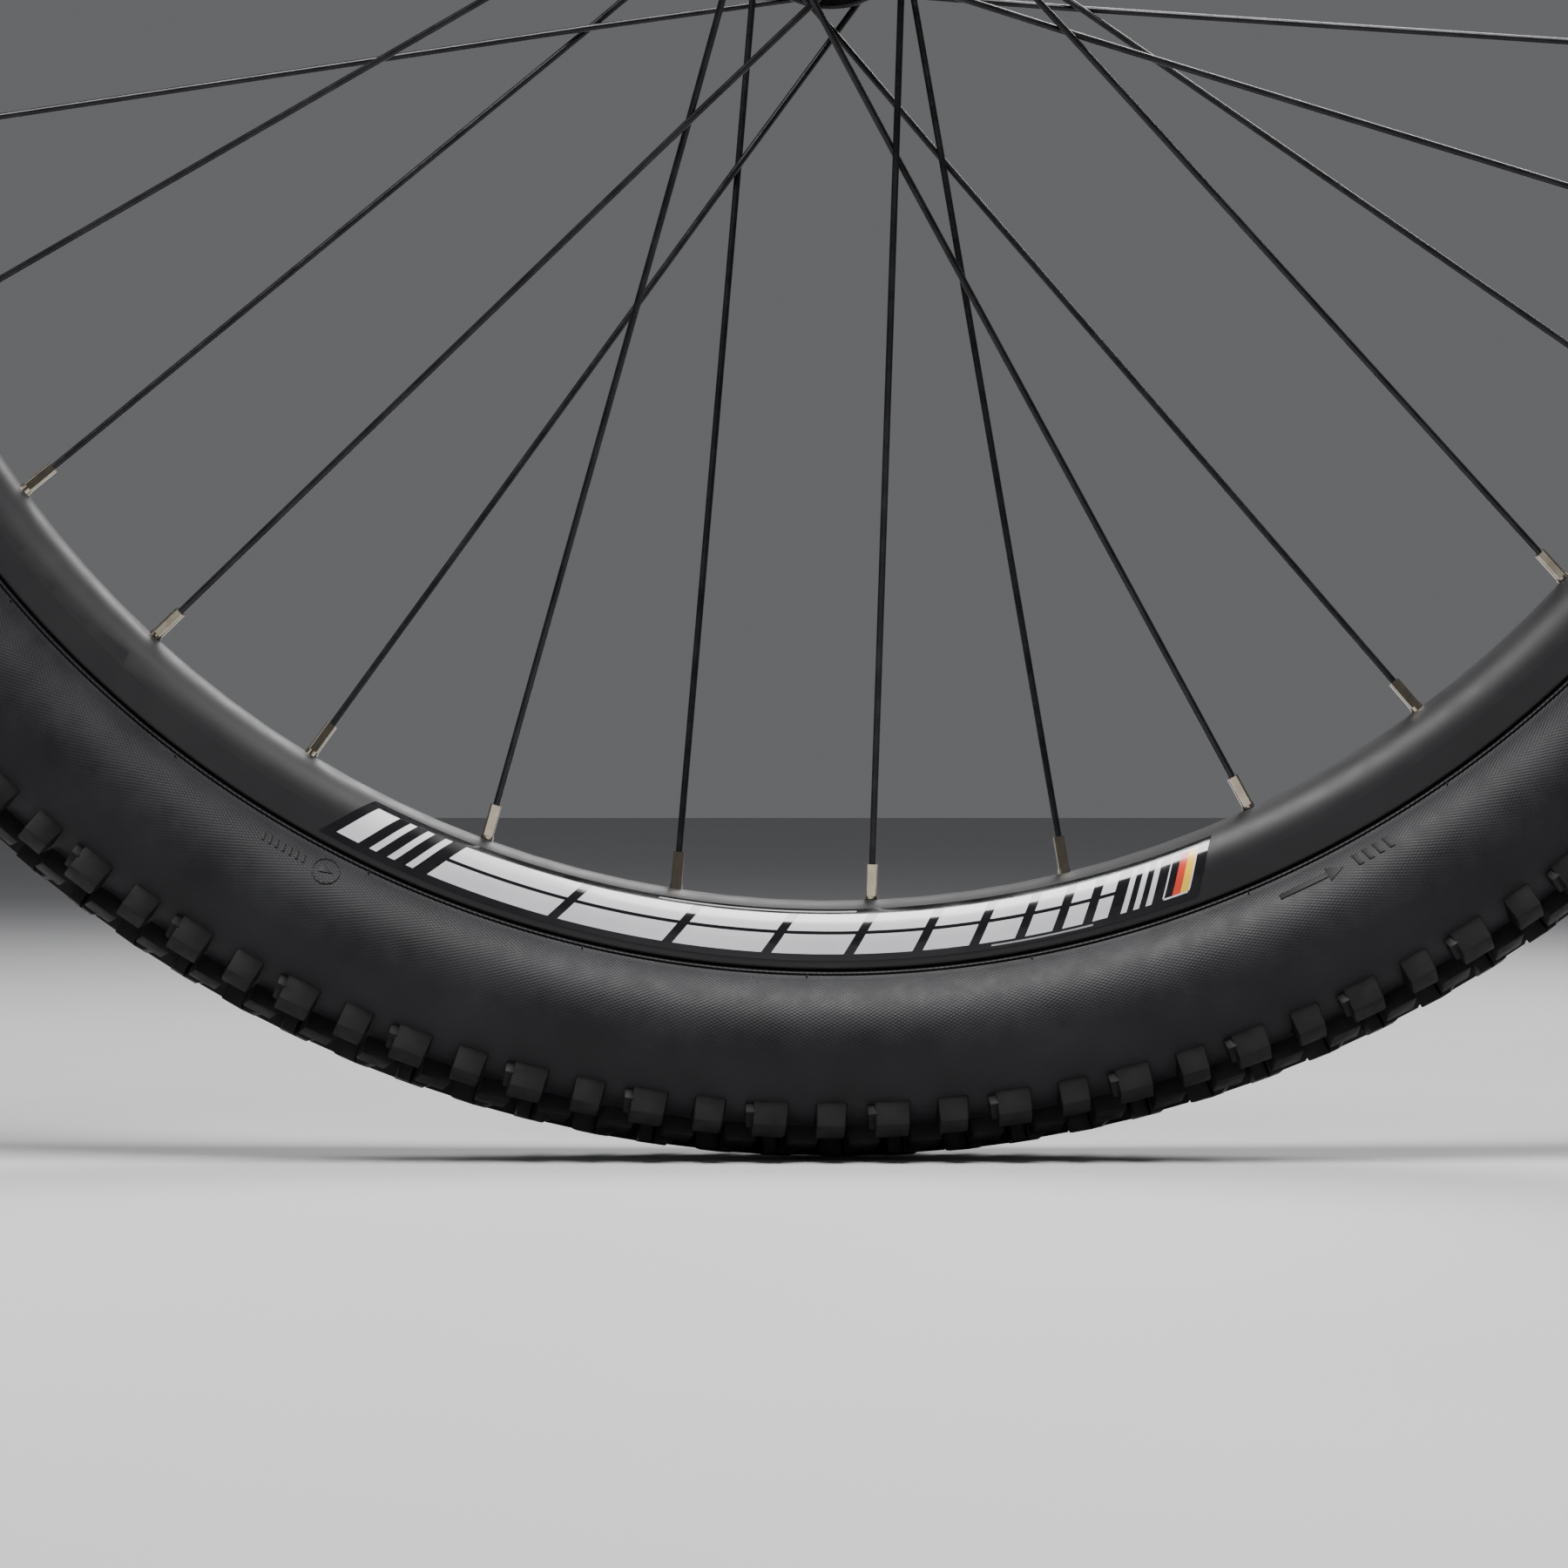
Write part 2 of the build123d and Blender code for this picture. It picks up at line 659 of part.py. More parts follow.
# ---- Hub shell: one turned body with two drilled flanges and the brake disc's splined seat ----------------
bearing_r = bearing_od / 2
bearing_half = bearing_width / 2
near_pocket = bearing_near - bearing_half
far_pocket = bearing_far - bearing_half
seat_past_bearing = seal_inset + seal_t + shell_past_seal
near_shell_end = bearing_near + bearing_half + seat_past_bearing
far_seat_end = bearing_far + bearing_half + seat_past_bearing
shell_bore_r = axle_shoulder_d / 2 + shell_bore_gap
near_hole_angle = routes[1].hub_angle
far_hole_angle = routes[0].hub_angle
flange_r = hole_circle_r + flange_edge
bevel_r = hole_circle_r + spoke_head_d / 2 + bevel_land
near_face = -flange_near - flange_t / 2
far_face = flange_far + flange_t / 2

with BuildPart() as hub_shell:
    with BuildSketch(Plane.YZ):
        with BuildLine():
            FilletPolyline(
                (-near_shell_end, bearing_r + press_gap),
                (-near_shell_end, bearing_r + shell_end_wall),
                (near_face, barrel_root_d / 2),
                (near_face, bevel_r),
                (near_face + bevel_depth, flange_r),
                (near_face + flange_t, flange_r),
                (near_face + flange_t, barrel_root_d / 2),
                (-flange_near + barrel_flare, barrel_d / 2),
                (flange_far - barrel_flare, barrel_d / 2),
                (far_face - flange_t, barrel_root_d / 2),
                (far_face - flange_t, flange_r),
                (far_face - bevel_depth, flange_r),
                (far_face, bevel_r),
                (far_face, barrel_root_d / 2),
                (rotor_seat - rotor_seat_t, barrel_root_d / 2),
                (rotor_seat - rotor_seat_t, rotor_seat_d / 2),
                (rotor_seat, rotor_seat_d / 2),
                (rotor_seat, spline_d / 2),
                (spigot_end, spline_d / 2),
                (spigot_end, lockring_d / 2),
                (far_seat_end, lockring_d / 2),
                (far_seat_end, bearing_r + press_gap),
                (far_pocket, bearing_r + press_gap),
                (far_pocket, shell_bore_r),
                (-near_pocket, shell_bore_r),
                (-near_pocket, bearing_r + press_gap),
                radius=[0, shell_end_round, root_fillet, 0, flange_round, flange_round, root_fillet]
                + [waist_fillet, waist_fillet, root_fillet, flange_round, flange_round, 0, seat_fillet]
                + [flange_round, seat_edge_round, seat_edge_round, 0, spigot_round, 0, 0, 0, 0, 0, 0, 0],
                close=True,
            )
        make_face()
    revolve(axis=Axis.Y)
    with BuildSketch(Plane.XZ.offset(flange_near)):
        with PolarLocations(hole_circle_r, spoke_count // 2, start_angle=near_hole_angle - 90):
            Circle(spoke_hole_d / 2)
    extrude(amount=flange_t, both=True, mode=Mode.SUBTRACT)
    with BuildSketch(Plane.XZ.offset(-flange_far)):
        with PolarLocations(hole_circle_r, spoke_count // 2, start_angle=far_hole_angle - 90):
            Circle(spoke_hole_d / 2)
    extrude(amount=flange_t, both=True, mode=Mode.SUBTRACT)
    with BuildSketch(Plane.XZ.offset(-spigot_end)):
        with PolarLocations(spline_d / 2, spline_count):
            Rectangle(2 * spline_groove_t, spline_groove_w)
    extrude(amount=spigot_end - rotor_seat, mode=Mode.SUBTRACT)
hub_shell.part.label = "hub_shell"
export_step(hub_shell.part, "parts/hub_shell.step")

# ---- Axle: a tube with a thicker middle that spaces the two bearings --------------------------------------
axle_hole_r = axle_hole_d / 2
axle_r = bearing_bore / 2
axle_end = cap_face - axle_inset

with BuildPart() as axle:
    with BuildSketch(Plane.YZ):
        Polygon(
            (-axle_end, axle_hole_r),
            (axle_end, axle_hole_r),
            (axle_end, axle_r),
            (far_pocket, axle_r),
            (far_pocket, axle_shoulder_d / 2),
            (-near_pocket, axle_shoulder_d / 2),
            (-near_pocket, axle_r),
            (-axle_end, axle_r),
            align=None,
        )
    revolve(axis=Axis.Y)
axle.part.label = "axle"
export_step(axle.part, "parts/axle.step")

# ---- Bearings and end caps, alike on both sides -----------------------------------------------------------
pitch_r = (bearing_bore + bearing_od) / 4
inner_land_r = bearing_bore / 2 + race_half
outer_land_r = bearing_r - race_half
ball_r = ball_d / 2
groove_mid = axle_end - o_ring_back

for side, side_name, bearing_y in ((1, "left", bearing_far), (-1, "right", bearing_near)):
    middle = side * bearing_y

    with BuildPart() as outer_race:
        with BuildSketch(Plane.YZ):
            with Locations((middle, (outer_land_r + bearing_r) / 2)):
                Rectangle(bearing_width, race_half)
            with Locations((middle, pitch_r)):
                Circle(ball_r + ball_gap, mode=Mode.SUBTRACT)
        revolve(axis=Axis.Y)
    outer_race.part.label = f"bearing_outer_race_{side_name}"
    export_step(outer_race.part, f"parts/{outer_race.part.label}.step")

    with BuildPart() as inner_race:
        with BuildSketch(Plane.YZ):
            with Locations((middle, (inner_land_r + bearing_bore / 2 + axle_fit) / 2)):
                Rectangle(bearing_width, race_half - axle_fit)
            with Locations((middle, pitch_r)):
                Circle(ball_r + ball_gap, mode=Mode.SUBTRACT)
        revolve(axis=Axis.Y)
    inner_race.part.label = f"bearing_inner_race_{side_name}"
    export_step(inner_race.part, f"parts/{inner_race.part.label}.step")

    ball_planes = [drill_plane(ball * 360 / ball_count, pitch_r, middle) for ball in range(ball_count)]
    with BuildPart() as balls:
        with Locations(*ball_planes):
            Sphere(ball_r)
    balls.part.label = f"bearing_balls_{side_name}"
    export_step(balls.part, f"parts/{balls.part.label}.step")

    with BuildPart() as cage:
        with BuildSketch(Plane.YZ):
            with Locations((middle, pitch_r)):
                Rectangle(cage_width, 2 * cage_half)
        revolve(axis=Axis.Y)
        with Locations(*ball_planes):
            Cylinder(ball_r + pocket_gap, 4 * cage_half, mode=Mode.SUBTRACT)
    cage.part.label = f"bearing_cage_{side_name}"
    export_step(cage.part, f"parts/{cage.part.label}.step")

    inner_stop = side * (bearing_y + bearing_half)
    nose_end = inner_stop + side * cap_nose_t
    with BuildPart() as end_cap:
        with BuildSketch(Plane.YZ):
            Polygon(
                (side * cap_face, axle_hole_r),
                (side * cap_face, cap_land_d / 2 - cap_chamfer),
                (side * (cap_face - cap_chamfer), cap_land_d / 2),
                (nose_end, cap_land_d / 2),
                (nose_end, axle_shoulder_d / 2),
                (inner_stop, axle_shoulder_d / 2),
                (inner_stop, axle_r + axle_fit),
                (side * axle_end, axle_r + axle_fit),
                (side * axle_end, axle_hole_r),
                align=None,
            )
            with Locations((side * groove_mid, axle_r + axle_fit)):
                Rectangle(o_ring_groove_w, o_ring_groove, align=(Align.CENTER, Align.MIN), mode=Mode.SUBTRACT)
        revolve(axis=Axis.Y)
    end_cap.part.label = f"end_cap_{side_name}"
    export_step(end_cap.part, f"parts/{end_cap.part.label}.step")

# ---- Seals in pairs ----------------------------------------------------------------------------------------
seal_offset = bearing_half - bearing_seal_inset - bearing_seal_t / 2

with BuildPart() as bearing_seals:
    with BuildSketch(Plane.YZ):
        for middle in (bearing_far, -bearing_near):
            with Locations((middle - seal_offset, pitch_r), (middle + seal_offset, pitch_r)):
                Rectangle(bearing_seal_t, outer_land_r - inner_land_r - 2 * running_gap)
    revolve(axis=Axis.Y)
bearing_seals.part.label = "bearing_seals"
export_step(bearing_seals.part, "parts/bearing_seals.step")

seal_inner_r = cap_land_d / 2 + running_gap
seal_height = bearing_r - seal_inner_r
seal_places = [
    (bearing_far + bearing_half + seal_inset + seal_t / 2, seal_inner_r + seal_height / 2),
    (-bearing_near - bearing_half - seal_inset - seal_t / 2, seal_inner_r + seal_height / 2),
]

with BuildPart() as hub_seals:
    with BuildSketch(Plane.YZ):
        with Locations(*seal_places):
            Rectangle(seal_t, seal_height)
    revolve(axis=Axis.Y)
hub_seals.part.label = "hub_seals"
export_step(hub_seals.part, "parts/hub_seals.step")

with BuildPart() as end_cap_o_rings:
    with BuildSketch(Plane.YZ):
        o_ring_r = axle_r + axle_fit / 2 + o_ring_groove / 2
        with Locations((groove_mid, o_ring_r), (-groove_mid, o_ring_r)):
            Circle(o_ring_d / 2)
    revolve(axis=Axis.Y)
end_cap_o_rings.part.label = "end_cap_o_rings"
export_step(end_cap_o_rings.part, "parts/end_cap_o_rings.step")

print(f"tyre diameter {2 * tyre_r:.1f} mm, rim inner diameter {2 * bed_r:.1f} mm")
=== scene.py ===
from math import acos, asin, cos, pi, radians, sin, tan

import bmesh
import bpy
import numpy as np
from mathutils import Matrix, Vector


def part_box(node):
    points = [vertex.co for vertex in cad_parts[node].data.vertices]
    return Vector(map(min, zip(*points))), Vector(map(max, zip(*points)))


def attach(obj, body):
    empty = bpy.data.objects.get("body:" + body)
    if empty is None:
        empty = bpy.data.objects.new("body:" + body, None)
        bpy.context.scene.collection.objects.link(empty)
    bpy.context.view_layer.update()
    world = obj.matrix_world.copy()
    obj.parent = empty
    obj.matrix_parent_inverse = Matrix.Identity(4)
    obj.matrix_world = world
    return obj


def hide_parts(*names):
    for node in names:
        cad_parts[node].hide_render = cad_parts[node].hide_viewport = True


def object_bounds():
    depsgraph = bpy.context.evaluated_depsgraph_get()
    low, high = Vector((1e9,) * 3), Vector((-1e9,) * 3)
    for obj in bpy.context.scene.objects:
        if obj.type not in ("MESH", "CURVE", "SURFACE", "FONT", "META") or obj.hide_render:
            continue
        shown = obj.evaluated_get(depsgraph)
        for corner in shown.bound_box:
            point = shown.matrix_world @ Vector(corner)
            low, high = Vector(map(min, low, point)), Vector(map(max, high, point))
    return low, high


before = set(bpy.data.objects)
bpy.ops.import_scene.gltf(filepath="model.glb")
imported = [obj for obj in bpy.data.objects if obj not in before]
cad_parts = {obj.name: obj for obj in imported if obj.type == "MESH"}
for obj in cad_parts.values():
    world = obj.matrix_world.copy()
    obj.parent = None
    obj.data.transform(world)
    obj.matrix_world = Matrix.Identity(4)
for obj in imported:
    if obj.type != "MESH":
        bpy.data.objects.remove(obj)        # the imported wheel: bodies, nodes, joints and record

cad_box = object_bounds()
MM = 0.001

# ==== Hub axle and end caps =================================================================================
# A drawn alloy tube with a thicker middle, bright where it was turned. The black end caps push onto its ends
# over small rubber rings and stand in the fork.


def new_finish(name, colour, metallic, roughness, coat=0.0):
    """A principled finish in one colour, to which the patterns below are added."""
    finish = bpy.data.materials.new(name)
    finish.use_nodes = True
    shader = finish.node_tree.nodes["Principled BSDF"]
    shader.inputs["Base Color"].default_value = (*colour, 1)
    shader.inputs["Metallic"].default_value = metallic
    shader.inputs["Roughness"].default_value = roughness
    shader.inputs["Coat Weight"].default_value = coat
    finish.diffuse_color = (*colour, 1)
    return finish


def shader_of(finish):
    return finish.node_tree.nodes["Principled BSDF"]


def dull(finish, level):
    """Lowers the mirror part of a finish, as soot and fillers do in rubber."""
    shader_of(finish).inputs["Specular IOR Level"].default_value = level


def node(finish, kind, **values):
    """A shader node with its settings and its unlinked inputs."""
    made = finish.node_tree.nodes.new(kind)
    for key, value in values.items():
        if hasattr(made, key):
            setattr(made, key, value)
        else:
            made.inputs[key.replace("_", " ").title()].default_value = value
    return made


def link(finish, source, target):
    finish.node_tree.links.new(source, target)


def place_of(finish):
    """Coordinates fixed in the piece, in metres."""
    return node(finish, "ShaderNodeTexCoord").outputs["Object"]


def mottle(finish, place, dark, light, scale, detail=4.0):
    """Cloudy change of colour between two shades."""
    noise = node(finish, "ShaderNodeTexNoise", scale=scale, detail=detail)
    link(finish, place, noise.inputs["Vector"])
    ramp = node(finish, "ShaderNodeValToRGB")
    ramp.color_ramp.elements[0].position = 0.35
    ramp.color_ramp.elements[1].position = 0.7
    ramp.color_ramp.elements[0].color = (*dark, 1)
    ramp.color_ramp.elements[1].color = (*light, 1)
    link(finish, noise.outputs["Fac"], ramp.inputs["Fac"])
    link(finish, ramp.outputs["Color"], shader_of(finish).inputs["Base Color"])


def vary_roughness(finish, place, low, high, scale):
    """Cloudy change of gloss."""
    noise = node(finish, "ShaderNodeTexNoise", scale=scale, detail=5.0)
    link(finish, place, noise.inputs["Vector"])
    spread = node(finish, "ShaderNodeMapRange")
    spread.inputs["From Min"].default_value = 0.3
    spread.inputs["From Max"].default_value = 0.7
    spread.inputs["To Min"].default_value = low
    spread.inputs["To Max"].default_value = high
    link(finish, noise.outputs["Fac"], spread.inputs["Value"])
    link(finish, spread.outputs["Result"], shader_of(finish).inputs["Roughness"])


def relief(finish, height, strength, distance):
    """Small relief from a height pattern, distance in metres. Reliefs stack."""
    bump = node(finish, "ShaderNodeBump")
    bump.inputs["Strength"].default_value = strength
    bump.inputs["Distance"].default_value = distance
    link(finish, height, bump.inputs["Height"])
    normal = shader_of(finish).inputs["Normal"]
    if normal.is_linked:
        link(finish, normal.links[0].from_socket, bump.inputs["Normal"])
    link(finish, bump.outputs["Normal"], normal)


def grain(finish, place, scale, strength, distance):
    """Fine even grain, as blasting, anodising or a moulding tool leaves it."""
    noise = node(finish, "ShaderNodeTexNoise", scale=scale, detail=3.0)
    link(finish, place, noise.inputs["Vector"])
    relief(finish, noise.outputs["Fac"], strength, distance)


def turned_lines(finish, place, scale, strength):
    """Fine lines round the spin axis, as turning leaves them."""
    lines = node(finish, "ShaderNodeTexWave", wave_type="BANDS", bands_direction="Y")
    lines.inputs["Scale"].default_value = scale
    lines.inputs["Distortion"].default_value = 0.4
    lines.inputs["Detail"].default_value = 2.0
    link(finish, place, lines.inputs["Vector"])
    relief(finish, lines.outputs["Fac"], strength, 0.02 * MM)


def dress(nodes, finish):
    """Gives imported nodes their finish."""
    for name in nodes:
        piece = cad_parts[name]
        if not piece.material_slots:
            piece.data.materials.append(finish)
        for slot in piece.material_slots:
            slot.material = finish


bright_alloy = new_finish("bright_alloy", (0.62, 0.62, 0.64), 1.0, 0.28)
alloy_place = place_of(bright_alloy)
mottle(bright_alloy, alloy_place, (0.52, 0.52, 0.54), (0.68, 0.68, 0.7), 60)
vary_roughness(bright_alloy, alloy_place, 0.22, 0.38, 300)
turned_lines(bright_alloy, alloy_place, 900, 0.25)
dress(["axle", "rim_joint_sleeve"], bright_alloy)

black_anodised = new_finish("black_anodised", (0.018, 0.018, 0.02), 0.75, 0.34)
anodised_place = place_of(black_anodised)
mottle(black_anodised, anodised_place, (0.012, 0.012, 0.013), (0.026, 0.026, 0.029), 45)
vary_roughness(black_anodised, anodised_place, 0.28, 0.42, 220)
grain(black_anodised, anodised_place, 5200, 0.12, 0.03 * MM)
turned_lines(black_anodised, anodised_place, 700, 0.16)
dress(["end_cap_left", "end_cap_right", "hub_shell"], black_anodised)

moulded_rubber = new_finish("moulded_rubber", (0.012, 0.012, 0.012), 0.0, 0.55)
dull(moulded_rubber, 0.16)
rubber_place = place_of(moulded_rubber)
mottle(moulded_rubber, rubber_place, (0.009, 0.009, 0.009), (0.015, 0.015, 0.015), 90)
grain(moulded_rubber, rubber_place, 2400, 0.2, 0.05 * MM)
dress(["end_cap_o_rings", "hub_seals", "bearing_seals"], moulded_rubber)

# ==== Ball bearings =========================================================================================
# Hardened steel races ground and lapped in the track, polished balls, and a moulded nylon cage that goes
# round at about half the wheel's speed.

ground_steel = new_finish("ground_steel", (0.56, 0.56, 0.58), 1.0, 0.24)
steel_place = place_of(ground_steel)
vary_roughness(ground_steel, steel_place, 0.18, 0.32, 500)
turned_lines(ground_steel, steel_place, 1600, 0.2)
races = [f"bearing_{ring}_race_{side}" for ring in ("outer", "inner") for side in ("left", "right")]
dress(races, ground_steel)

polished_steel = new_finish("polished_steel", (0.74, 0.74, 0.76), 1.0, 0.08)
vary_roughness(polished_steel, place_of(polished_steel), 0.05, 0.14, 900)
dress(["bearing_balls_left", "bearing_balls_right"], polished_steel)

cage_nylon = new_finish("cage_nylon", (0.46, 0.38, 0.24), 0.0, 0.48)
nylon_place = place_of(cage_nylon)
mottle(cage_nylon, nylon_place, (0.40, 0.32, 0.19), (0.52, 0.44, 0.29), 300)
grain(cage_nylon, nylon_place, 3000, 0.15, 0.03 * MM)
dress(["bearing_cage_left", "bearing_cage_right"], cage_nylon)

# ==== Rim ===================================================================================================
# A double-walled alloy section, rolled and joined with a sleeve opposite the valve, drilled for 32 nipples,
# bead-blasted and anodised in a satin black. Its spoke bed is offset to the right.

satin_black_rim = new_finish("satin_black_rim", (0.013, 0.013, 0.014), 0.0, 0.5)
dull(satin_black_rim, 0.32)
rim_place = place_of(satin_black_rim)
mottle(satin_black_rim, rim_place, (0.011, 0.011, 0.012), (0.015, 0.015, 0.016), 22, 6.0)
vary_roughness(satin_black_rim, rim_place, 0.45, 0.53, 140)
grain(satin_black_rim, rim_place, 3600, 0.22, 0.04 * MM)
dress(["rim"], satin_black_rim)

# ==== Rim tape ==============================================================================================
# A woven nylon strip, stretched over the well so that the tube can't touch the drilled holes.

woven_tape = new_finish("woven_tape", (0.05, 0.12, 0.3), 0.0, 0.55)
tape_place = place_of(woven_tape)
mottle(woven_tape, tape_place, (0.04, 0.10, 0.26), (0.07, 0.16, 0.36), 400)
weft = node(woven_tape, "ShaderNodeTexWave", wave_type="BANDS", bands_direction="Y")
weft.inputs["Scale"].default_value = 500
link(woven_tape, tape_place, weft.inputs["Vector"])
relief(woven_tape, weft.outputs["Fac"], 0.4, 0.05 * MM)
dress(["rim_tape"], woven_tape)

# ==== Inner tube ============================================================================================
# Butyl rubber with a dusting of talc, shown in its inflated shape. It is out of sight inside the tyre.

butyl = new_finish("butyl", (0.03, 0.03, 0.031), 0.0, 0.7)
butyl_place = place_of(butyl)
mottle(butyl, butyl_place, (0.02, 0.02, 0.021), (0.06, 0.06, 0.06), 70)
grain(butyl, butyl_place, 1800, 0.2, 0.05 * MM)
dress(["inner_tube"], butyl)

# ==== Bead wires ============================================================================================
# A hoop of drawn wire moulded into each edge of the tyre, which locks it under the rim's lip.

drawn_wire = new_finish("drawn_wire", (0.5, 0.45, 0.36), 1.0, 0.35)
vary_roughness(drawn_wire, place_of(drawn_wire), 0.28, 0.45, 400)
dress(["bead_wires", "valve_spring"], drawn_wire)

# ==== Tyre casing ===========================================================================================
# Nylon cords laid on the bias under a thin skin of black rubber. The cords show through the sidewall, and the
# mould leaves a centring band with a sharp groove just above the rim, trimmed vent stubs and raised marks.

tyre_low, tyre_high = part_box("tyre")
rim_low, rim_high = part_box("rim")
tyre_r = (tyre_high.z - tyre_low.z) / 2
casing_half = (tyre_high.y - tyre_low.y) / 2
lip_r = (rim_high.z - rim_low.z) / 2
tread_height = 5.9 * MM
shoulder_arc_r = 22 * MM
shoulder_angle = radians(60)
casing_wall = 2.0 * MM
side_inset = 0.66 * MM
side_end_y = rim_high.y - side_inset         # where the sidewall leaves the rim
side_angle = acos(side_end_y / casing_half)
shoulder_y = casing_half - shoulder_arc_r
crown_arc_r = shoulder_arc_r + shoulder_y / cos(shoulder_angle)
crown_centre_r = tyre_r - tread_height - crown_arc_r
casing_r = crown_centre_r + shoulder_y * tan(shoulder_angle)
crown_run = crown_arc_r * (pi / 2 - shoulder_angle)
shoulder_run = crown_run + shoulder_arc_r * shoulder_angle
side_run = shoulder_run + casing_half * side_angle


def on_section(across, lift=0.0):
    """(y, radius) of a point, across metres from the crown along the casing, lift above its face."""
    run = abs(across)
    hand = 1 if across >= 0 else -1
    if run <= crown_run:
        lean = run / crown_arc_r
        reach = crown_arc_r + lift
        return hand * reach * sin(lean), crown_centre_r + reach * cos(lean)
    if run <= shoulder_run:
        lean = shoulder_angle - (run - crown_run) / shoulder_arc_r
        reach = shoulder_arc_r + lift
        return hand * (shoulder_y + reach * cos(lean)), casing_r + reach * sin(lean)
    lean = -(run - shoulder_run) / casing_half
    reach = casing_half + lift
    return hand * reach * cos(lean), casing_r + reach * sin(lean)


def rolled(along, y, radius):
    """Point of the wheel, along metres of tread from straight down towards +X."""
    turn = along / tyre_r
    return Vector((radius * sin(turn), y, -radius * cos(turn)))


def on_tyre(along, across, lift=0.0):
    return rolled(along, *on_section(across, lift))


def face_outward(mesh):
    """Turns all faces of a closed mesh outwards."""
    shell = bmesh.new()
    shell.from_mesh(mesh)
    bmesh.ops.recalc_face_normals(shell, faces=shell.faces)
    shell.to_mesh(mesh)
    shell.free()


def make_hoop(name, outline, steps, finish, body):
    """A closed outline of (y, radius) points rolled into a full hoop, with its arc lengths as a map."""
    points = np.array(outline)
    turns = np.linspace(0, 2 * pi, steps, endpoint=False)
    count = len(points)
    verts = np.empty((steps, count, 3))
    verts[:, :, 0] = np.sin(turns)[:, None] * points[None, :, 1]
    verts[:, :, 1] = points[None, :, 0]
    verts[:, :, 2] = -np.cos(turns)[:, None] * points[None, :, 1]
    i, j = np.meshgrid(np.arange(steps), np.arange(count), indexing="ij")
    i2, j2 = (i + 1) % steps, (j + 1) % count
    corners = [i * count + j, i * count + j2, i2 * count + j2, i2 * count + j]
    faces = np.stack(corners, axis=-1).reshape(-1, 4)
    mesh = bpy.data.meshes.new(name)
    mesh.from_pydata(verts.reshape(-1, 3).tolist(), [], faces.tolist())
    lengths = np.linalg.norm(np.roll(points, -1, axis=0) - points, axis=1)
    run = np.concatenate([[0], np.cumsum(lengths)])
    step = 2 * pi * tyre_r / steps
    ends = ((0, 0), (0, 1), (1, 1), (1, 0))
    places = [np.stack([(i + ahead) * step, run[j + beyond]], axis=-1) for ahead, beyond in ends]
    flat = np.stack(places, axis=2).reshape(-1, 2)
    mesh.uv_layers.new(name="Roll").data.foreach_set("uv", flat.astype(np.float32).ravel())
    mesh.polygons.foreach_set("use_smooth", [True] * len(mesh.polygons))
    mesh.materials.append(finish)
    piece = bpy.data.objects.new(name, mesh)
    bpy.context.scene.collection.objects.link(piece)
    face_outward(mesh)
    mesh.set_sharp_from_angle(angle=radians(40))
    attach(piece, body)
    return piece


corded_sidewall = new_finish("corded_sidewall", (0.010, 0.010, 0.011), 0.0, 0.46)
dull(corded_sidewall, 0.16)
sidewall_place = place_of(corded_sidewall)
mottle(corded_sidewall, sidewall_place, (0.009, 0.009, 0.010), (0.015, 0.015, 0.017), 40, 5.0)
vary_roughness(corded_sidewall, sidewall_place, 0.40, 0.50, 160)
roll_map = node(corded_sidewall, "ShaderNodeUVMap", uv_map="Roll")
cord_angle = radians(62)
for bias in (cord_angle, -cord_angle):
    laid = node(corded_sidewall, "ShaderNodeMapping")
    laid.inputs["Rotation"].default_value = (0, 0, bias)
    link(corded_sidewall, roll_map.outputs["UV"], laid.inputs["Vector"])
    cords = node(corded_sidewall, "ShaderNodeTexWave", wave_type="BANDS", bands_direction="X")
    cords.inputs["Scale"].default_value = 330
    cords.inputs["Distortion"].default_value = 1.2
    cords.inputs["Detail"].default_value = 2.0
    cords.inputs["Detail Scale"].default_value = 3.0
    link(corded_sidewall, laid.outputs["Vector"], cords.inputs["Vector"])
    relief(corded_sidewall, cords.outputs["Fac"], 0.24, 0.10 * MM)
grain(corded_sidewall, sidewall_place, 1500, 0.25, 0.08 * MM)

groove_run = side_run - 0.9 * MM
groove_half = 0.35 * MM
groove_depth = 0.6 * MM
band_rise = 0.45 * MM                        # the centring band above the sidewall
lip_wall = 2.5 * MM
bead_gap = 0.2 * MM                          # from the bead to the rim's lip
bead_width = 3.7 * MM
lip_height = 6.5 * MM
seat_gap = 0.15 * MM
bead_heel = rim_high.y - lip_wall - bead_gap
bead_toe = bead_heel - bead_width
bead_foot = lip_r - lip_height + seat_gap
inside_points = 46
outside_points = 80
hoop_steps = 756                             # six to each block of a row

section = [on_section(run, -casing_wall) for run in np.linspace(0, side_run - casing_wall, inside_points)]
section += [
    (bead_toe + casing_wall, bead_foot + 5.9 * MM + casing_wall / 2),
    (bead_toe, bead_foot + 3.0 * MM),
    (bead_toe, bead_foot),
    (bead_heel - 1.0 * MM, bead_foot),
    (bead_heel, bead_foot + 1.0 * MM),
    (bead_heel, bead_foot + 5.6 * MM),
    (bead_heel + 0.5 * MM, bead_foot + 6.5 * MM),
]
band_edge = on_section(side_run, 0)
section += [
    (band_edge[0] - 0.4 * MM, band_edge[1] - 0.75 * MM),
    (band_edge[0] + 0.35 * MM, band_edge[1] - 0.45 * MM),
    on_section(side_run - 0.2 * MM, band_rise),
    on_section(groove_run + groove_half, band_rise),
    on_section(groove_run + groove_half * 0.6, -groove_depth),
    on_section(groove_run - groove_half * 0.6, -groove_depth),
    on_section(groove_run - groove_half, 0.15 * MM),
]
section += [on_section(run) for run in np.linspace(groove_run - 1.2 * MM, 0, outside_points)]
outline = section + [(-y, radius) for y, radius in reversed(section[1:-1])]
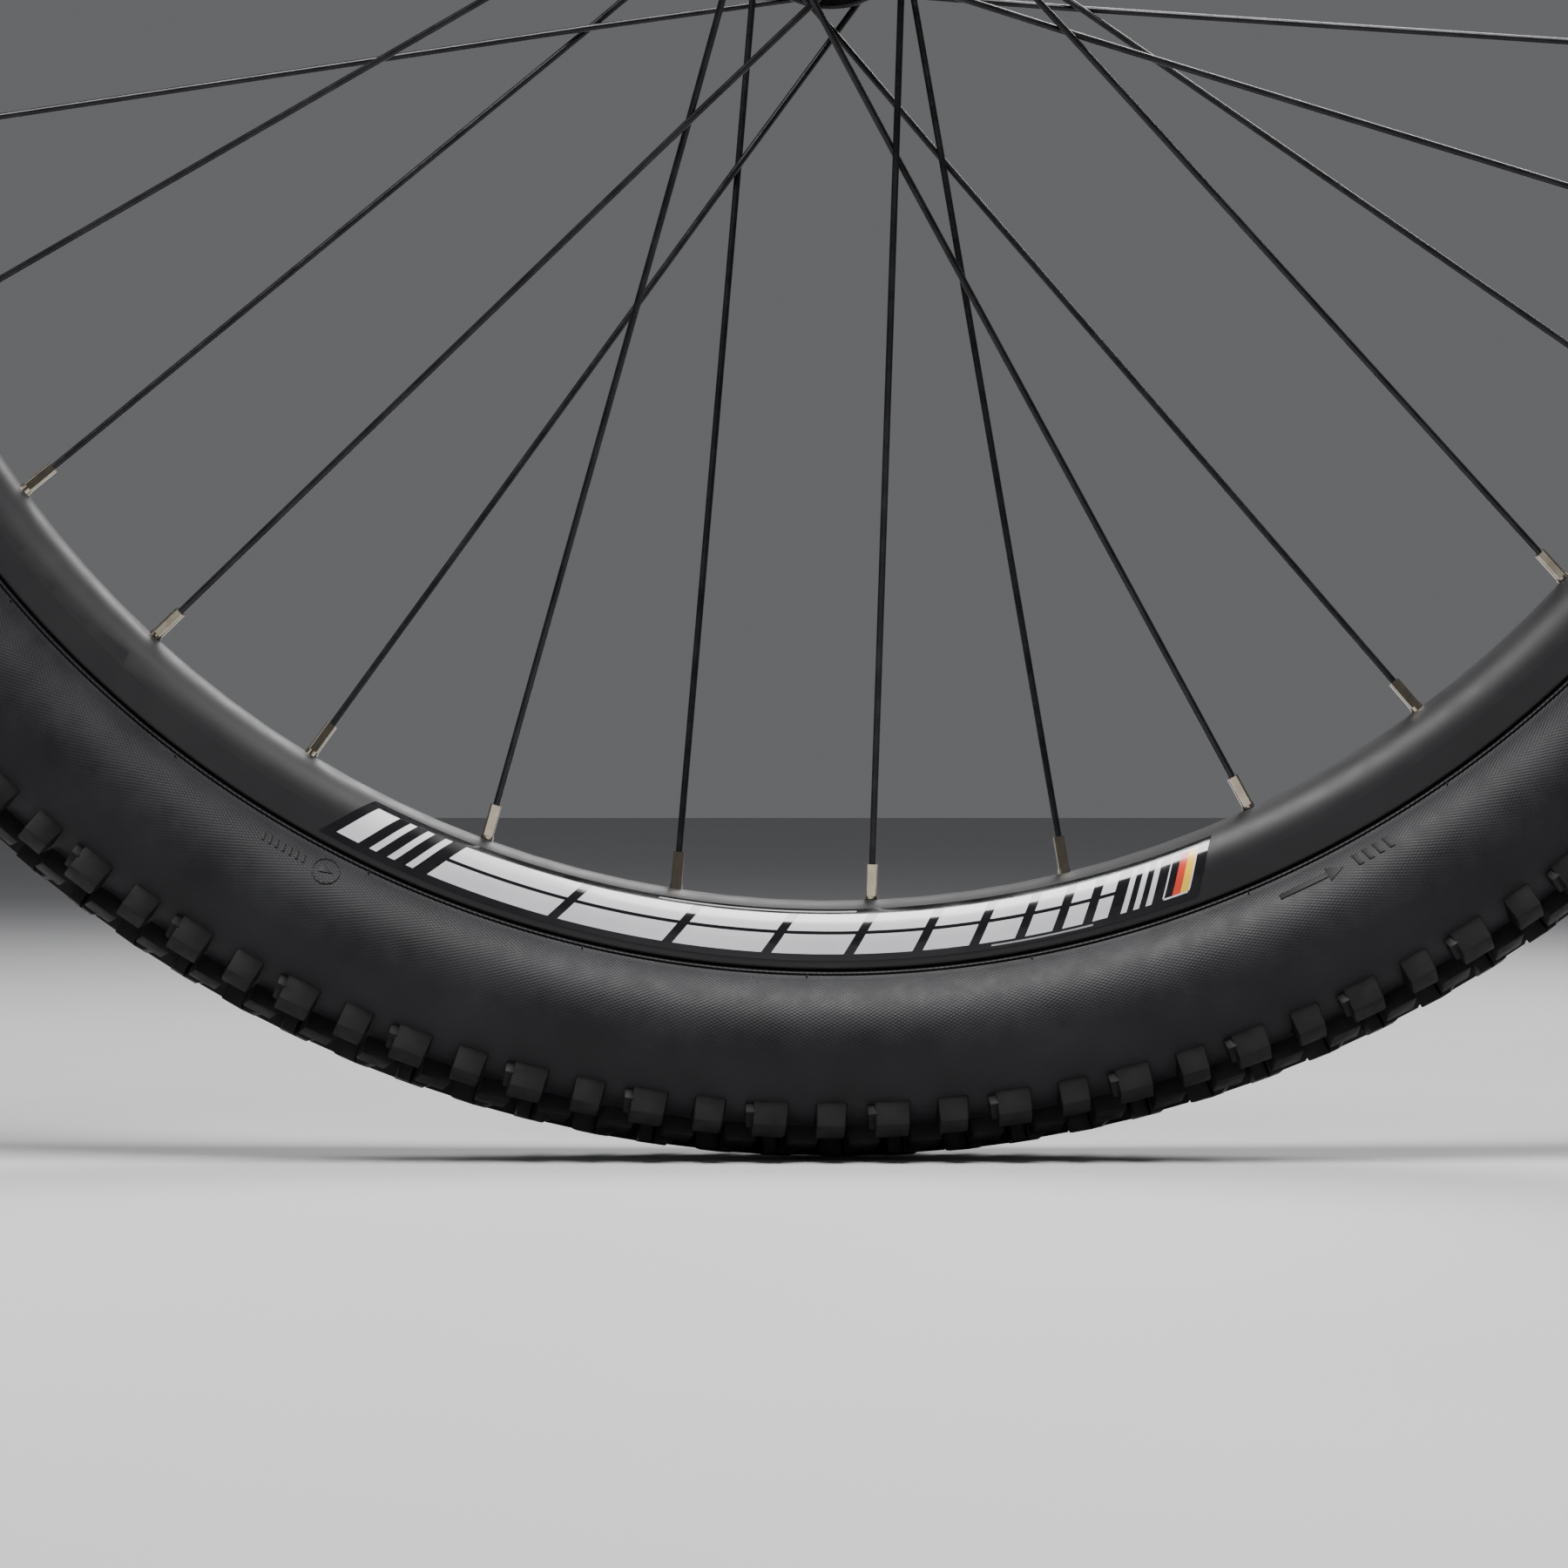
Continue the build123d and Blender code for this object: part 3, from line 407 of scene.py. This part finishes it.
tyre_casing = make_hoop("tyre_casing", outline, hoop_steps, corded_sidewall, "wheel")
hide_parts("tyre")

# ==== Tread blocks ==========================================================================================
# Separate blocks of the same rubber, 126 to a row: shoulder blocks in turn wide and narrow, blocks that lean
# in the gaps between them, and slit blocks in pairs along the middle. All taper and have rounded edges.

rows_round = 126
pitch = 2 * pi * tyre_r / rows_round

tread_rubber = new_finish("tread_rubber", (0.007, 0.007, 0.007), 0.0, 0.6)
dull(tread_rubber, 0.15)
tread_place = place_of(tread_rubber)
mottle(tread_rubber, tread_place, (0.005, 0.005, 0.005), (0.011, 0.010, 0.010), 75, 6.0)
vary_roughness(tread_rubber, tread_place, 0.48, 0.70, 260)
grain(tread_rubber, tread_place, 1300, 0.3, 0.10 * MM)


def shape_block(top, foot, round_off, root=0.6 * MM):
    """One block on the casing. top holds (along, across, lift) and foot (along, across), alike in turn."""
    block = bmesh.new()
    upper = [block.verts.new(on_tyre(along, across, lift)) for along, across, lift in top]
    lower = [block.verts.new(on_tyre(along, across, -root)) for along, across in foot]
    count = len(top)
    cap = block.faces.new(upper)
    block.faces.new(list(reversed(lower)))
    for k in range(count):
        after = (k + 1) % count
        block.faces.new((upper[k], lower[k], lower[after], upper[after]))
    bmesh.ops.recalc_face_normals(block, faces=block.faces)
    edges = list(cap.edges)
    for k in range(count):
        edges += [edge for edge in upper[k].link_edges if lower[k] in edge.verts]
    bmesh.ops.bevel(
        block, geom=edges, offset=round_off, segments=2, profile=0.5, affect="EDGES", clamp_overlap=True
    )
    return block


def widened(corners, draft):
    """Foot of a block: its top's corners moved outwards from their middle by the draft."""
    middle_along = sum(corner[0] for corner in corners) / len(corners)
    middle_across = sum(corner[1] for corner in corners) / len(corners)
    moved = []
    for corner in corners:
        along = corner[0] + (draft if corner[0] > middle_along else -draft)
        across = corner[1] + (draft if corner[1] > middle_across else -draft)
        moved.append((along, across))
    return moved


def repeat_round(name, blocks, steps, finish):
    """Joins blocks and repeats them evenly round the wheel as one piece of the tyre."""
    verts, faces = [], []
    for block in blocks:
        start = len(verts)
        block.verts.index_update()
        verts += [tuple(vert.co) for vert in block.verts]
        faces += [[start + vert.index for vert in face.verts] for face in block.faces]
        block.free()
    one = np.array(verts)
    all_verts, all_faces = [], []
    for step in range(steps):
        turn = 2 * pi * step / steps
        turned = one.copy()
        turned[:, 0] = one[:, 0] * cos(turn) - one[:, 2] * sin(turn)
        turned[:, 2] = one[:, 0] * sin(turn) + one[:, 2] * cos(turn)
        all_verts.append(turned)
        offset = step * len(one)
        all_faces += [[index + offset for index in face] for face in faces]
    mesh = bpy.data.meshes.new(name)
    mesh.from_pydata(np.concatenate(all_verts).tolist(), [], all_faces)
    mesh.polygons.foreach_set("use_smooth", [True] * len(mesh.polygons))
    mesh.materials.append(finish)
    mesh.set_sharp_from_angle(angle=radians(35))
    piece = bpy.data.objects.new(name, mesh)
    bpy.context.scene.collection.objects.link(piece)
    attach(piece, "wheel")


def on_shoulder(angle):
    """Way across from the crown to a place on the shoulder arc, angle from where the arc begins."""
    return crown_run + radians(angle) * shoulder_arc_r


def shoulder_block(hand, along, width):
    """Side block: a steep flank towards the rim, its low edge on the shoulder arc."""
    half = width / 2
    low = hand * on_shoulder(27)
    edge = hand * on_shoulder(18)
    back = 21.4 * MM
    foot_back = hand * (back - 1.2 * MM)
    edge_height = 6.8 * MM
    back_height = 6.0 * MM
    top = [
        (along - half, edge, edge_height),
        (along + half, edge, edge_height),
        (along + half - 0.6 * MM, hand * back, back_height),
        (along - half - 0.4 * MM, hand * back, back_height),
    ]
    foot = [
        (along - half - 0.3 * MM, low),
        (along + half + 0.7 * MM, low),
        (along + half + 0.5 * MM, foot_back),
        (along - half - 1.3 * MM, foot_back),
    ]
    return shape_block(top, foot, 0.55 * MM)


def side_step(hand, along):
    """Low step that props a wide side block."""
    low = hand * (on_shoulder(24) - 0.8 * MM)
    back = hand * 23.0 * MM
    low_height = 3.6 * MM
    back_height = 4.2 * MM
    top = [
        (along - 1.5 * MM, low, low_height),
        (along + 1.5 * MM, low, low_height),
        (along + 1.5 * MM, back, back_height),
        (along - 1.2 * MM, back, back_height),
    ]
    return shape_block(top, widened(top, 0.5 * MM), 0.35 * MM)


def leaning_block(hand, along):
    """Block between the middle and the side blocks, turned towards the shoulder."""
    inner = hand * 11.4 * MM
    outer = hand * 18.0 * MM
    inner_height = 5.6 * MM
    outer_height = 5.4 * MM
    top = [
        (along - 5.6 * MM, inner, inner_height),
        (along + 3.6 * MM, inner, inner_height),
        (along + 5.4 * MM, outer, outer_height),
        (along - 3.8 * MM, outer, outer_height),
    ]
    return shape_block(top, widened(top, 0.6 * MM), 0.5 * MM)


def middle_block(hand, along, inner, outer, front, back, lead):
    """Slit block of the middle rows with a ramp in front, its slit cut in from the outer side."""
    height = 5.85 * MM
    slit = 0.45 * MM
    depth = inner + (outer - inner) * 0.4
    ramp_drop = 2.3 * MM
    ramp_run = 3.6 * MM
    ramp_overlap = 0.4 * MM
    draft = 0.6 * MM
    edge_round = 0.16 * MM
    nose = along + front
    tail = along - back
    ramp_back = nose - ramp_run - ramp_overlap
    body_top = [
        (tail, hand * inner, height),
        (nose - ramp_run, hand * inner, height),
        (nose - ramp_run + lead, hand * outer, height),
        (along + slit, hand * outer, height),
        (along + slit, hand * depth, height),
        (along - slit, hand * depth, height),
        (along - slit, hand * outer, height),
        (tail + lead, hand * outer, height),
    ]
    body_foot = [
        (tail - draft, hand * (inner - draft)),
        (nose - ramp_run, hand * (inner - draft)),
        (nose - ramp_run + lead, hand * (outer + draft)),
        (along + slit, hand * (outer + draft)),
        (along + slit, hand * depth),
        (along - slit, hand * depth),
        (along - slit, hand * (outer + draft)),
        (tail + lead - draft, hand * (outer + draft)),
    ]
    ramp_top = [
        (ramp_back, hand * inner, height),
        (nose, hand * inner, height - ramp_drop),
        (nose + lead, hand * outer, height - ramp_drop),
        (ramp_back + lead, hand * outer, height),
    ]
    ramp_foot = [
        (ramp_back, hand * (inner - draft)),
        (nose + draft, hand * (inner - draft)),
        (nose + lead + draft, hand * (outer + draft)),
        (ramp_back + lead, hand * (outer + draft)),
    ]
    return [shape_block(body_top, body_foot, edge_round), shape_block(ramp_top, ramp_foot, edge_round)]


narrow_block = 8.6 * MM
wide_block = 10.2 * MM
step_back = 6.0 * MM
inner_row = (0.8 * MM, 7.4 * MM, 7.6 * MM, 5.6 * MM, -1.2 * MM)   # inner, outer, front, back and lead
outer_row = (2.6 * MM, 9.4 * MM, 7.2 * MM, 5.2 * MM, 1.0 * MM)
side_blocks, steps_low, leaning_blocks, middle_blocks = [], [], [], []
for hand in (-1, 1):
    offset = 0 if hand < 0 else pitch / 2
    side_blocks.append(shoulder_block(hand, offset, narrow_block))
    side_blocks.append(shoulder_block(hand, offset + pitch, wide_block))
    steps_low.append(side_step(hand, offset + pitch - step_back))
    leaning_blocks.append(leaning_block(hand, offset + pitch / 2))
    leaning_blocks.append(leaning_block(hand, offset + pitch * 3 / 2))
    middle_blocks += middle_block(hand, offset + pitch * 0.2, *inner_row)
    middle_blocks += middle_block(hand, offset + pitch * 1.15, *outer_row)

pairs_round = rows_round // 2
repeat_round("tread_side_blocks", side_blocks, pairs_round, tread_rubber)
repeat_round("tread_side_steps", steps_low, pairs_round, tread_rubber)
repeat_round("tread_leaning_blocks", leaning_blocks, pairs_round, tread_rubber)
repeat_round("tread_middle_blocks", middle_blocks, pairs_round, tread_rubber)

# ==== Sidewall marks ========================================================================================
# Raised in the mould: a plain ring with a wedge in it, a row of short bars, and an arrow that gives the way
# round. They are made up and stand for no maker. Vent stubs are trimmed close along the groove.


def raised_mark(corners, lift, round_off=0.08 * MM):
    """Flat-topped mark on the sidewall from (along, across) corners."""
    top = [(along, across, lift) for along, across in corners]
    return shape_block(top, corners, round_off, 0.3 * MM)


mark_lift = 0.3 * MM
mark_run = side_run - 8.3 * MM


def mark_ring(along, across, outer, width, arcs=16):
    """Raised ring made of short arcs that just overlap."""
    ring = []
    for k in range(arcs):
        a, b = 2 * pi * k / arcs, 2 * pi * (k + 1.02) / arcs
        corners = []
        for reach, turn in ((outer, a), (outer, b), (outer - width, b), (outer - width, a)):
            corners.append((along + reach * cos(turn), across + reach * sin(turn)))
        ring.append(raised_mark(corners, mark_lift))
    return ring


def mark_bar(along, across, half_width, half_height, slant=0.0):
    """Raised bar, which may lean along the way round."""
    corners = [
        (along - half_width, across - half_height),
        (along + half_width, across - half_height),
        (along + half_width + slant, across + half_height),
        (along - half_width + slant, across + half_height),
    ]
    return raised_mark(corners, mark_lift)


def mark_wedge(along, across, back, front, half_height):
    """Raised triangle that points along the way round."""
    tail, tip = along + back, along + front
    corners = [(tail, across - half_height), (tip, across), (tail, across + half_height)]
    return raised_mark(corners, mark_lift)


ring_r = 5.0 * MM
ring_line = 0.6 * MM
ring_spots = ((-1, -27.3), (1, 27.3), (-1, 152.7), (1, -152.7))     # hand and degrees round
arrow_spots = ((-1, 26.5), (1, -26.5), (-1, -153.5), (1, 153.5))
marks = []
for hand, middle in ring_spots:
    spot = radians(middle) * tyre_r
    across = hand * mark_run
    marks += mark_ring(spot, across, ring_r, ring_line)
    marks.append(mark_wedge(spot, across, -2.2 * MM, 2.6 * MM, 1.6 * MM))
    for bar in range(7):
        bar_place = spot + hand * (9 + 2.6 * bar) * MM
        marks.append(mark_bar(bar_place, across, 0.5 * MM, 1.5 * MM, 0.8 * MM))
for hand, middle in arrow_spots:
    spot = radians(middle) * tyre_r
    across = hand * mark_run
    marks.append(mark_bar(spot - 7 * MM, across, 9 * MM, 0.9 * MM))
    marks.append(mark_wedge(spot, across, 2 * MM, 8 * MM, 2.6 * MM))
    for bar in range(4):
        marks.append(mark_bar(spot + (13 + 4 * bar) * MM, across, 1.0 * MM, 2.2 * MM, 0.9 * MM))
repeat_round("sidewall_marks", marks, 1, moulded_rubber)

stub_r = 0.28 * MM
stub_height = 0.9 * MM
stub_sides = 6
stub_spot = radians(10.7) * tyre_r
stub_run = groove_run - 0.9 * MM
stubs_round = 30
stubs = []
for hand in (-1, 1):
    corners = []
    for k in range(stub_sides):
        turn = 2 * pi * k / stub_sides
        corners.append((stub_spot + stub_r * cos(turn), hand * stub_run + stub_r * sin(turn)))
    stubs.append(raised_mark(corners, stub_height, 0.05 * MM))
repeat_round("vent_stubs", stubs, stubs_round, moulded_rubber)

# ==== Valve =================================================================================================
# A brass stem and core of the car type, with a moulded black cap screwed over the end.

valve_brass = new_finish("valve_brass", (0.66, 0.48, 0.22), 1.0, 0.25)
brass_place = place_of(valve_brass)
mottle(valve_brass, brass_place, (0.58, 0.40, 0.17), (0.72, 0.55, 0.28), 350)
vary_roughness(valve_brass, brass_place, 0.2, 0.36, 700)
dress(["valve_stem", "valve_core", "valve_pin"], valve_brass)

cap_plastic = new_finish("cap_plastic", (0.014, 0.014, 0.015), 0.0, 0.42)
cap_place = place_of(cap_plastic)
vary_roughness(cap_plastic, cap_place, 0.34, 0.5, 500)
grain(cap_plastic, cap_place, 4000, 0.2, 0.03 * MM)
dress(["valve_cap"], cap_plastic)

# ==== Spokes ================================================================================================
# Black stainless wire, cold-headed and bent at the hub, woven past the outermost crossing.

black_wire = new_finish("black_wire", (0.012, 0.012, 0.013), 0.6, 0.3)
wire_place = place_of(black_wire)
mottle(black_wire, wire_place, (0.008, 0.008, 0.009), (0.02, 0.02, 0.022), 120)
vary_roughness(black_wire, wire_place, 0.24, 0.38, 500)
dress([f"spoke_{number:02d}" for number in range(1, 33)], black_wire)

# ==== Nipples ===============================================================================================
# Brass, nickel plated, with four spanner flats. The plate is bright on the corners and a little yellow.

nickel_plate = new_finish("nickel_plate", (0.40, 0.35, 0.28), 1.0, 0.14)
nickel_place = place_of(nickel_plate)
mottle(nickel_plate, nickel_place, (0.36, 0.31, 0.24), (0.45, 0.40, 0.32), 260, 3.0)
vary_roughness(nickel_plate, nickel_place, 0.10, 0.18, 600)
grain(nickel_plate, nickel_place, 2200, 0.05, 0.02 * MM)
dress(["spoke_nipples"], nickel_plate)

# ==== Rim decals ============================================================================================
# Gloss black film, stuck on both flanks over the joint and over the valve, with slanted ends. It is printed
# with plain slanted blocks that get narrower, bars, thin lines, and a framed field of three colours.

gloss_film = new_finish("gloss_film", (0.006, 0.006, 0.007), 0.0, 0.12, 0.6)
vary_roughness(gloss_film, place_of(gloss_film), 0.09, 0.2, 90)
white_print = new_finish("white_print", (0.62, 0.62, 0.64), 0.0, 0.3, 0.3)
white_place = place_of(white_print)
mottle(white_print, white_place, (0.59, 0.59, 0.61), (0.65, 0.65, 0.67), 60)
grey_print = new_finish("grey_print", (0.30, 0.30, 0.31), 0.0, 0.3, 0.3)
mottle(grey_print, place_of(grey_print), (0.27, 0.27, 0.28), (0.33, 0.33, 0.34), 60)
red_print = new_finish("red_print", (0.62, 0.035, 0.02), 0.0, 0.3, 0.3)
mottle(red_print, place_of(red_print), (0.55, 0.03, 0.018), (0.68, 0.04, 0.022), 60)
yellow_print = new_finish("yellow_print", (0.80, 0.50, 0.02), 0.0, 0.3, 0.3)
mottle(yellow_print, place_of(yellow_print), (0.74, 0.45, 0.018), (0.86, 0.55, 0.025), 60)

rim_depth = 20 * MM
bed_r = lip_r - rim_depth
near_round = 12 * MM
near_round_y = rim_low.y + near_round
near_round_r = bed_r + near_round
far_round = 18 * MM
far_round_y = rim_high.y - far_round
far_round_r = bed_r + far_round
film_inner_r = bed_r + 2.5 * MM
film_outer_r = bed_r + 17.5 * MM
near_start = asin((near_round_r - film_inner_r) / near_round)
far_start = asin((far_round_r - film_inner_r) / far_round)
far_end = asin((far_round_r - film_outer_r) / far_round)
near_height = near_round * near_start + film_outer_r - near_round_r
film_gap = 0.04 * MM
film_wall = 0.15 * MM
print_lift = 0.05 * MM
print_r = (film_inner_r + film_outer_r) / 2
film_lean = 10.5 * MM                        # how far the ends lean over the whole height
film_middles = (radians(-3.3), radians(176.7))
film_half = radians(25.4) * print_r
film_width = 2 * film_half - film_lean
patch_step = 1.6 * MM
patch_row = 1.1 * MM


def on_flank(hand, share, lift):
    """(y, radius) on a flank, share 0 at the film's inner edge and 1 at its outer edge."""
    if hand > 0:
        lean = far_start - (far_start - far_end) * share
        reach = far_round + lift
        return far_round_y + reach * cos(lean), far_round_r - reach * sin(lean)
    height = near_height * share
    if height < near_round * near_start:
        lean = near_start - height / near_round
        reach = near_round + lift
        return near_round_y - reach * cos(lean), near_round_r - reach * sin(lean)
    return rim_low.y - lift, near_round_r + height - near_round * near_start


def lay_patch(patches, hand, middle, start, width, low, high, bottom, top):
    """Adds one slanted, closed patch: start and width along the film, low and high as height shares."""
    columns = max(1, round(width / patch_step))
    rows = max(1, round((high - low) * near_height / patch_row))
    verts, faces = patches
    first = len(verts)
    for lift in (bottom, top):
        for i in range(columns + 1):
            for j in range(rows + 1):
                share = low + (high - low) * j / rows
                along = start + width * i / columns + film_lean * (1 - share) - film_half
                y, radius = on_flank(hand, share, lift)
                turn = middle - hand * along / print_r
                verts.append((radius * sin(turn), y, -radius * cos(turn)))
    layer = (columns + 1) * (rows + 1)

    def at(level, i, j):
        return first + level * layer + i * (rows + 1) + j

    for i in range(columns):
        for j in range(rows):
            faces.append((at(1, i, j), at(1, i + 1, j), at(1, i + 1, j + 1), at(1, i, j + 1)))
            faces.append((at(0, i, j), at(0, i, j + 1), at(0, i + 1, j + 1), at(0, i + 1, j)))
    for i in range(columns):
        faces.append((at(0, i, 0), at(0, i + 1, 0), at(1, i + 1, 0), at(1, i, 0)))
        faces.append((at(0, i + 1, rows), at(0, i, rows), at(1, i, rows), at(1, i + 1, rows)))
    for j in range(rows):
        faces.append((at(0, 0, j + 1), at(0, 0, j), at(1, 0, j), at(1, 0, j + 1)))
        faces.append((at(0, columns, j), at(0, columns, j + 1), at(1, columns, j + 1), at(1, columns, j)))


def make_patches(name, patches, finish):
    """All patches of one colour as one piece."""
    mesh = bpy.data.meshes.new(name)
    mesh.from_pydata(patches[0], [], patches[1])
    face_outward(mesh)
    mesh.polygons.foreach_set("use_smooth", [True] * len(mesh.polygons))
    mesh.set_sharp_from_angle(angle=radians(35))
    mesh.materials.append(finish)
    piece = bpy.data.objects.new(name, mesh)
    bpy.context.scene.collection.objects.link(piece)
    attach(piece, "wheel")
    return piece


print_low, print_high = 0.135, 0.88          # shares of the film's height
line_low, line_high = 0.47, 0.53             # the gap between the two rows of blocks
print_foot = film_gap + film_wall - 0.01 * MM
print_top = film_gap + film_wall + print_lift
block_widths = (37, 31, 26, 21, 17, 13.5, 10.5, 8, 6, 4.5)      # mm
frame_width, frame_line = 8.4 * MM, 0.5 * MM
line_share = frame_line / near_height
field_low, field_high = print_low + line_share, print_high - line_share
field = (frame_width - 2 * frame_line) / 3


def ink(patches, side, start, width, low=print_low, high=print_high):
    """Adds one printed patch to the film of a side, given as (hand, middle)."""
    lay_patch(patches, *side, start, width, low, high, print_foot, print_top)


film, white, grey, red, yellow = ([], []), ([], []), ([], []), ([], []), ([], [])
for hand in (-1, 1):
    for middle in film_middles:
        side = (hand, middle)
        lay_patch(film, *side, 0, film_width, 0, 1, film_gap, film_gap + film_wall)
        place = 3.4 * MM
        ink(white, side, place, 7.1 * MM)
        place += 10.6 * MM
        for bar in range(3):
            ink(white, side, place, 2.3 * MM)
            place += 5.8 * MM
        place += 1.0 * MM
        for width in block_widths:
            ink(white, side, place, width * MM, print_low, line_low)
            ink(white, side, place, width * MM, line_high, print_high)
            place += (width + 3.0) * MM
        ink(grey, side, 92 * MM, 60 * MM, 0.055, 0.085)
        ink(grey, side, 200 * MM, 30 * MM, 0.925, 0.955)
        place = film_width - 24.3 * MM
        for bar in range(3):
            ink(white, side, place, 1.8 * MM)
            place += 3.8 * MM
        place += 1.2 * MM
        ink(white, side, place, frame_width, print_low, field_low)
        ink(white, side, place, frame_width, field_high, print_high)
        ink(white, side, place, frame_line)
        ink(white, side, place + frame_width - frame_line, frame_line)
        ink(red, side, place + frame_line + field, field, field_low, field_high)
        ink(yellow, side, place + frame_line + 2 * field, field, field_low, field_high)

decal_film = make_patches("decal_film", film, gloss_film)
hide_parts("rim_decals")
make_patches("decal_white", white, white_print)
make_patches("decal_grey", grey, grey_print)
make_patches("decal_red", red, red_print)
make_patches("decal_yellow", yellow, yellow_print)

# ==== Studio ================================================================================================
# Plain pale floor and soft lights, mainly from above and a little from the front.

half_floor = 15
floor_gap = 0.3 * MM
floor_finish = new_finish("studio_floor", (0.46, 0.46, 0.47), 0.0, 0.7)
floor_place = place_of(floor_finish)
mottle(floor_finish, floor_place, (0.45, 0.45, 0.46), (0.47, 0.47, 0.48), 3)
floor_mesh = bpy.data.meshes.new("studio_floor")
floor_corners = [(x * half_floor, y * half_floor, 0) for x, y in ((-1, -1), (1, -1), (1, 1), (-1, 1))]
floor_mesh.from_pydata(floor_corners, [], [(0, 1, 2, 3)])
floor_mesh.materials.append(floor_finish)
floor = bpy.data.objects.new("studio_floor", floor_mesh)
bpy.context.scene.collection.objects.link(floor)
floor.location.z = cad_box[0][2] - floor_gap

world = bpy.data.worlds.new("studio_air")
world.use_nodes = True
air = world.node_tree.nodes["Background"]
air.inputs["Color"].default_value = (0.86, 0.87, 0.89, 1)
air.inputs["Strength"].default_value = 0.16
bpy.context.scene.world = world


def soft_light(name, place, target, size, power):
    """Square soft box that looks at a point."""
    lamp = bpy.data.lights.new(name, "AREA")
    lamp.shape = "SQUARE"
    lamp.size = size
    lamp.energy = power
    box = bpy.data.objects.new(name, lamp)
    box.location = place
    box.rotation_euler = (Vector(target) - Vector(place)).to_track_quat("-Z", "Y").to_euler()
    bpy.context.scene.collection.objects.link(box)


soft_light("top_box", (-0.15, -0.5, 1.25), (0, 0.05, -0.3), 0.9, 66)
soft_light("front_box", (-1.2, -1.5, 0.9), (0, 0, -0.2), 0.8, 2.5)
soft_light("back_box", (0.5, 1.3, 1.2), (0, 0, -0.2), 1.0, 40)

# The camera looks square at the lower part of the wheel from its right side.
camera_data = bpy.data.cameras.new("camera")
camera_data.lens = 115.2
camera_data.sensor_width = 36
camera = bpy.data.objects.new("camera", camera_data)
camera.location = (-0.0139, -1.5, -0.2627)
camera.rotation_euler = (radians(90), 0, 0)
bpy.context.scene.collection.objects.link(camera)
bpy.context.scene.camera = camera
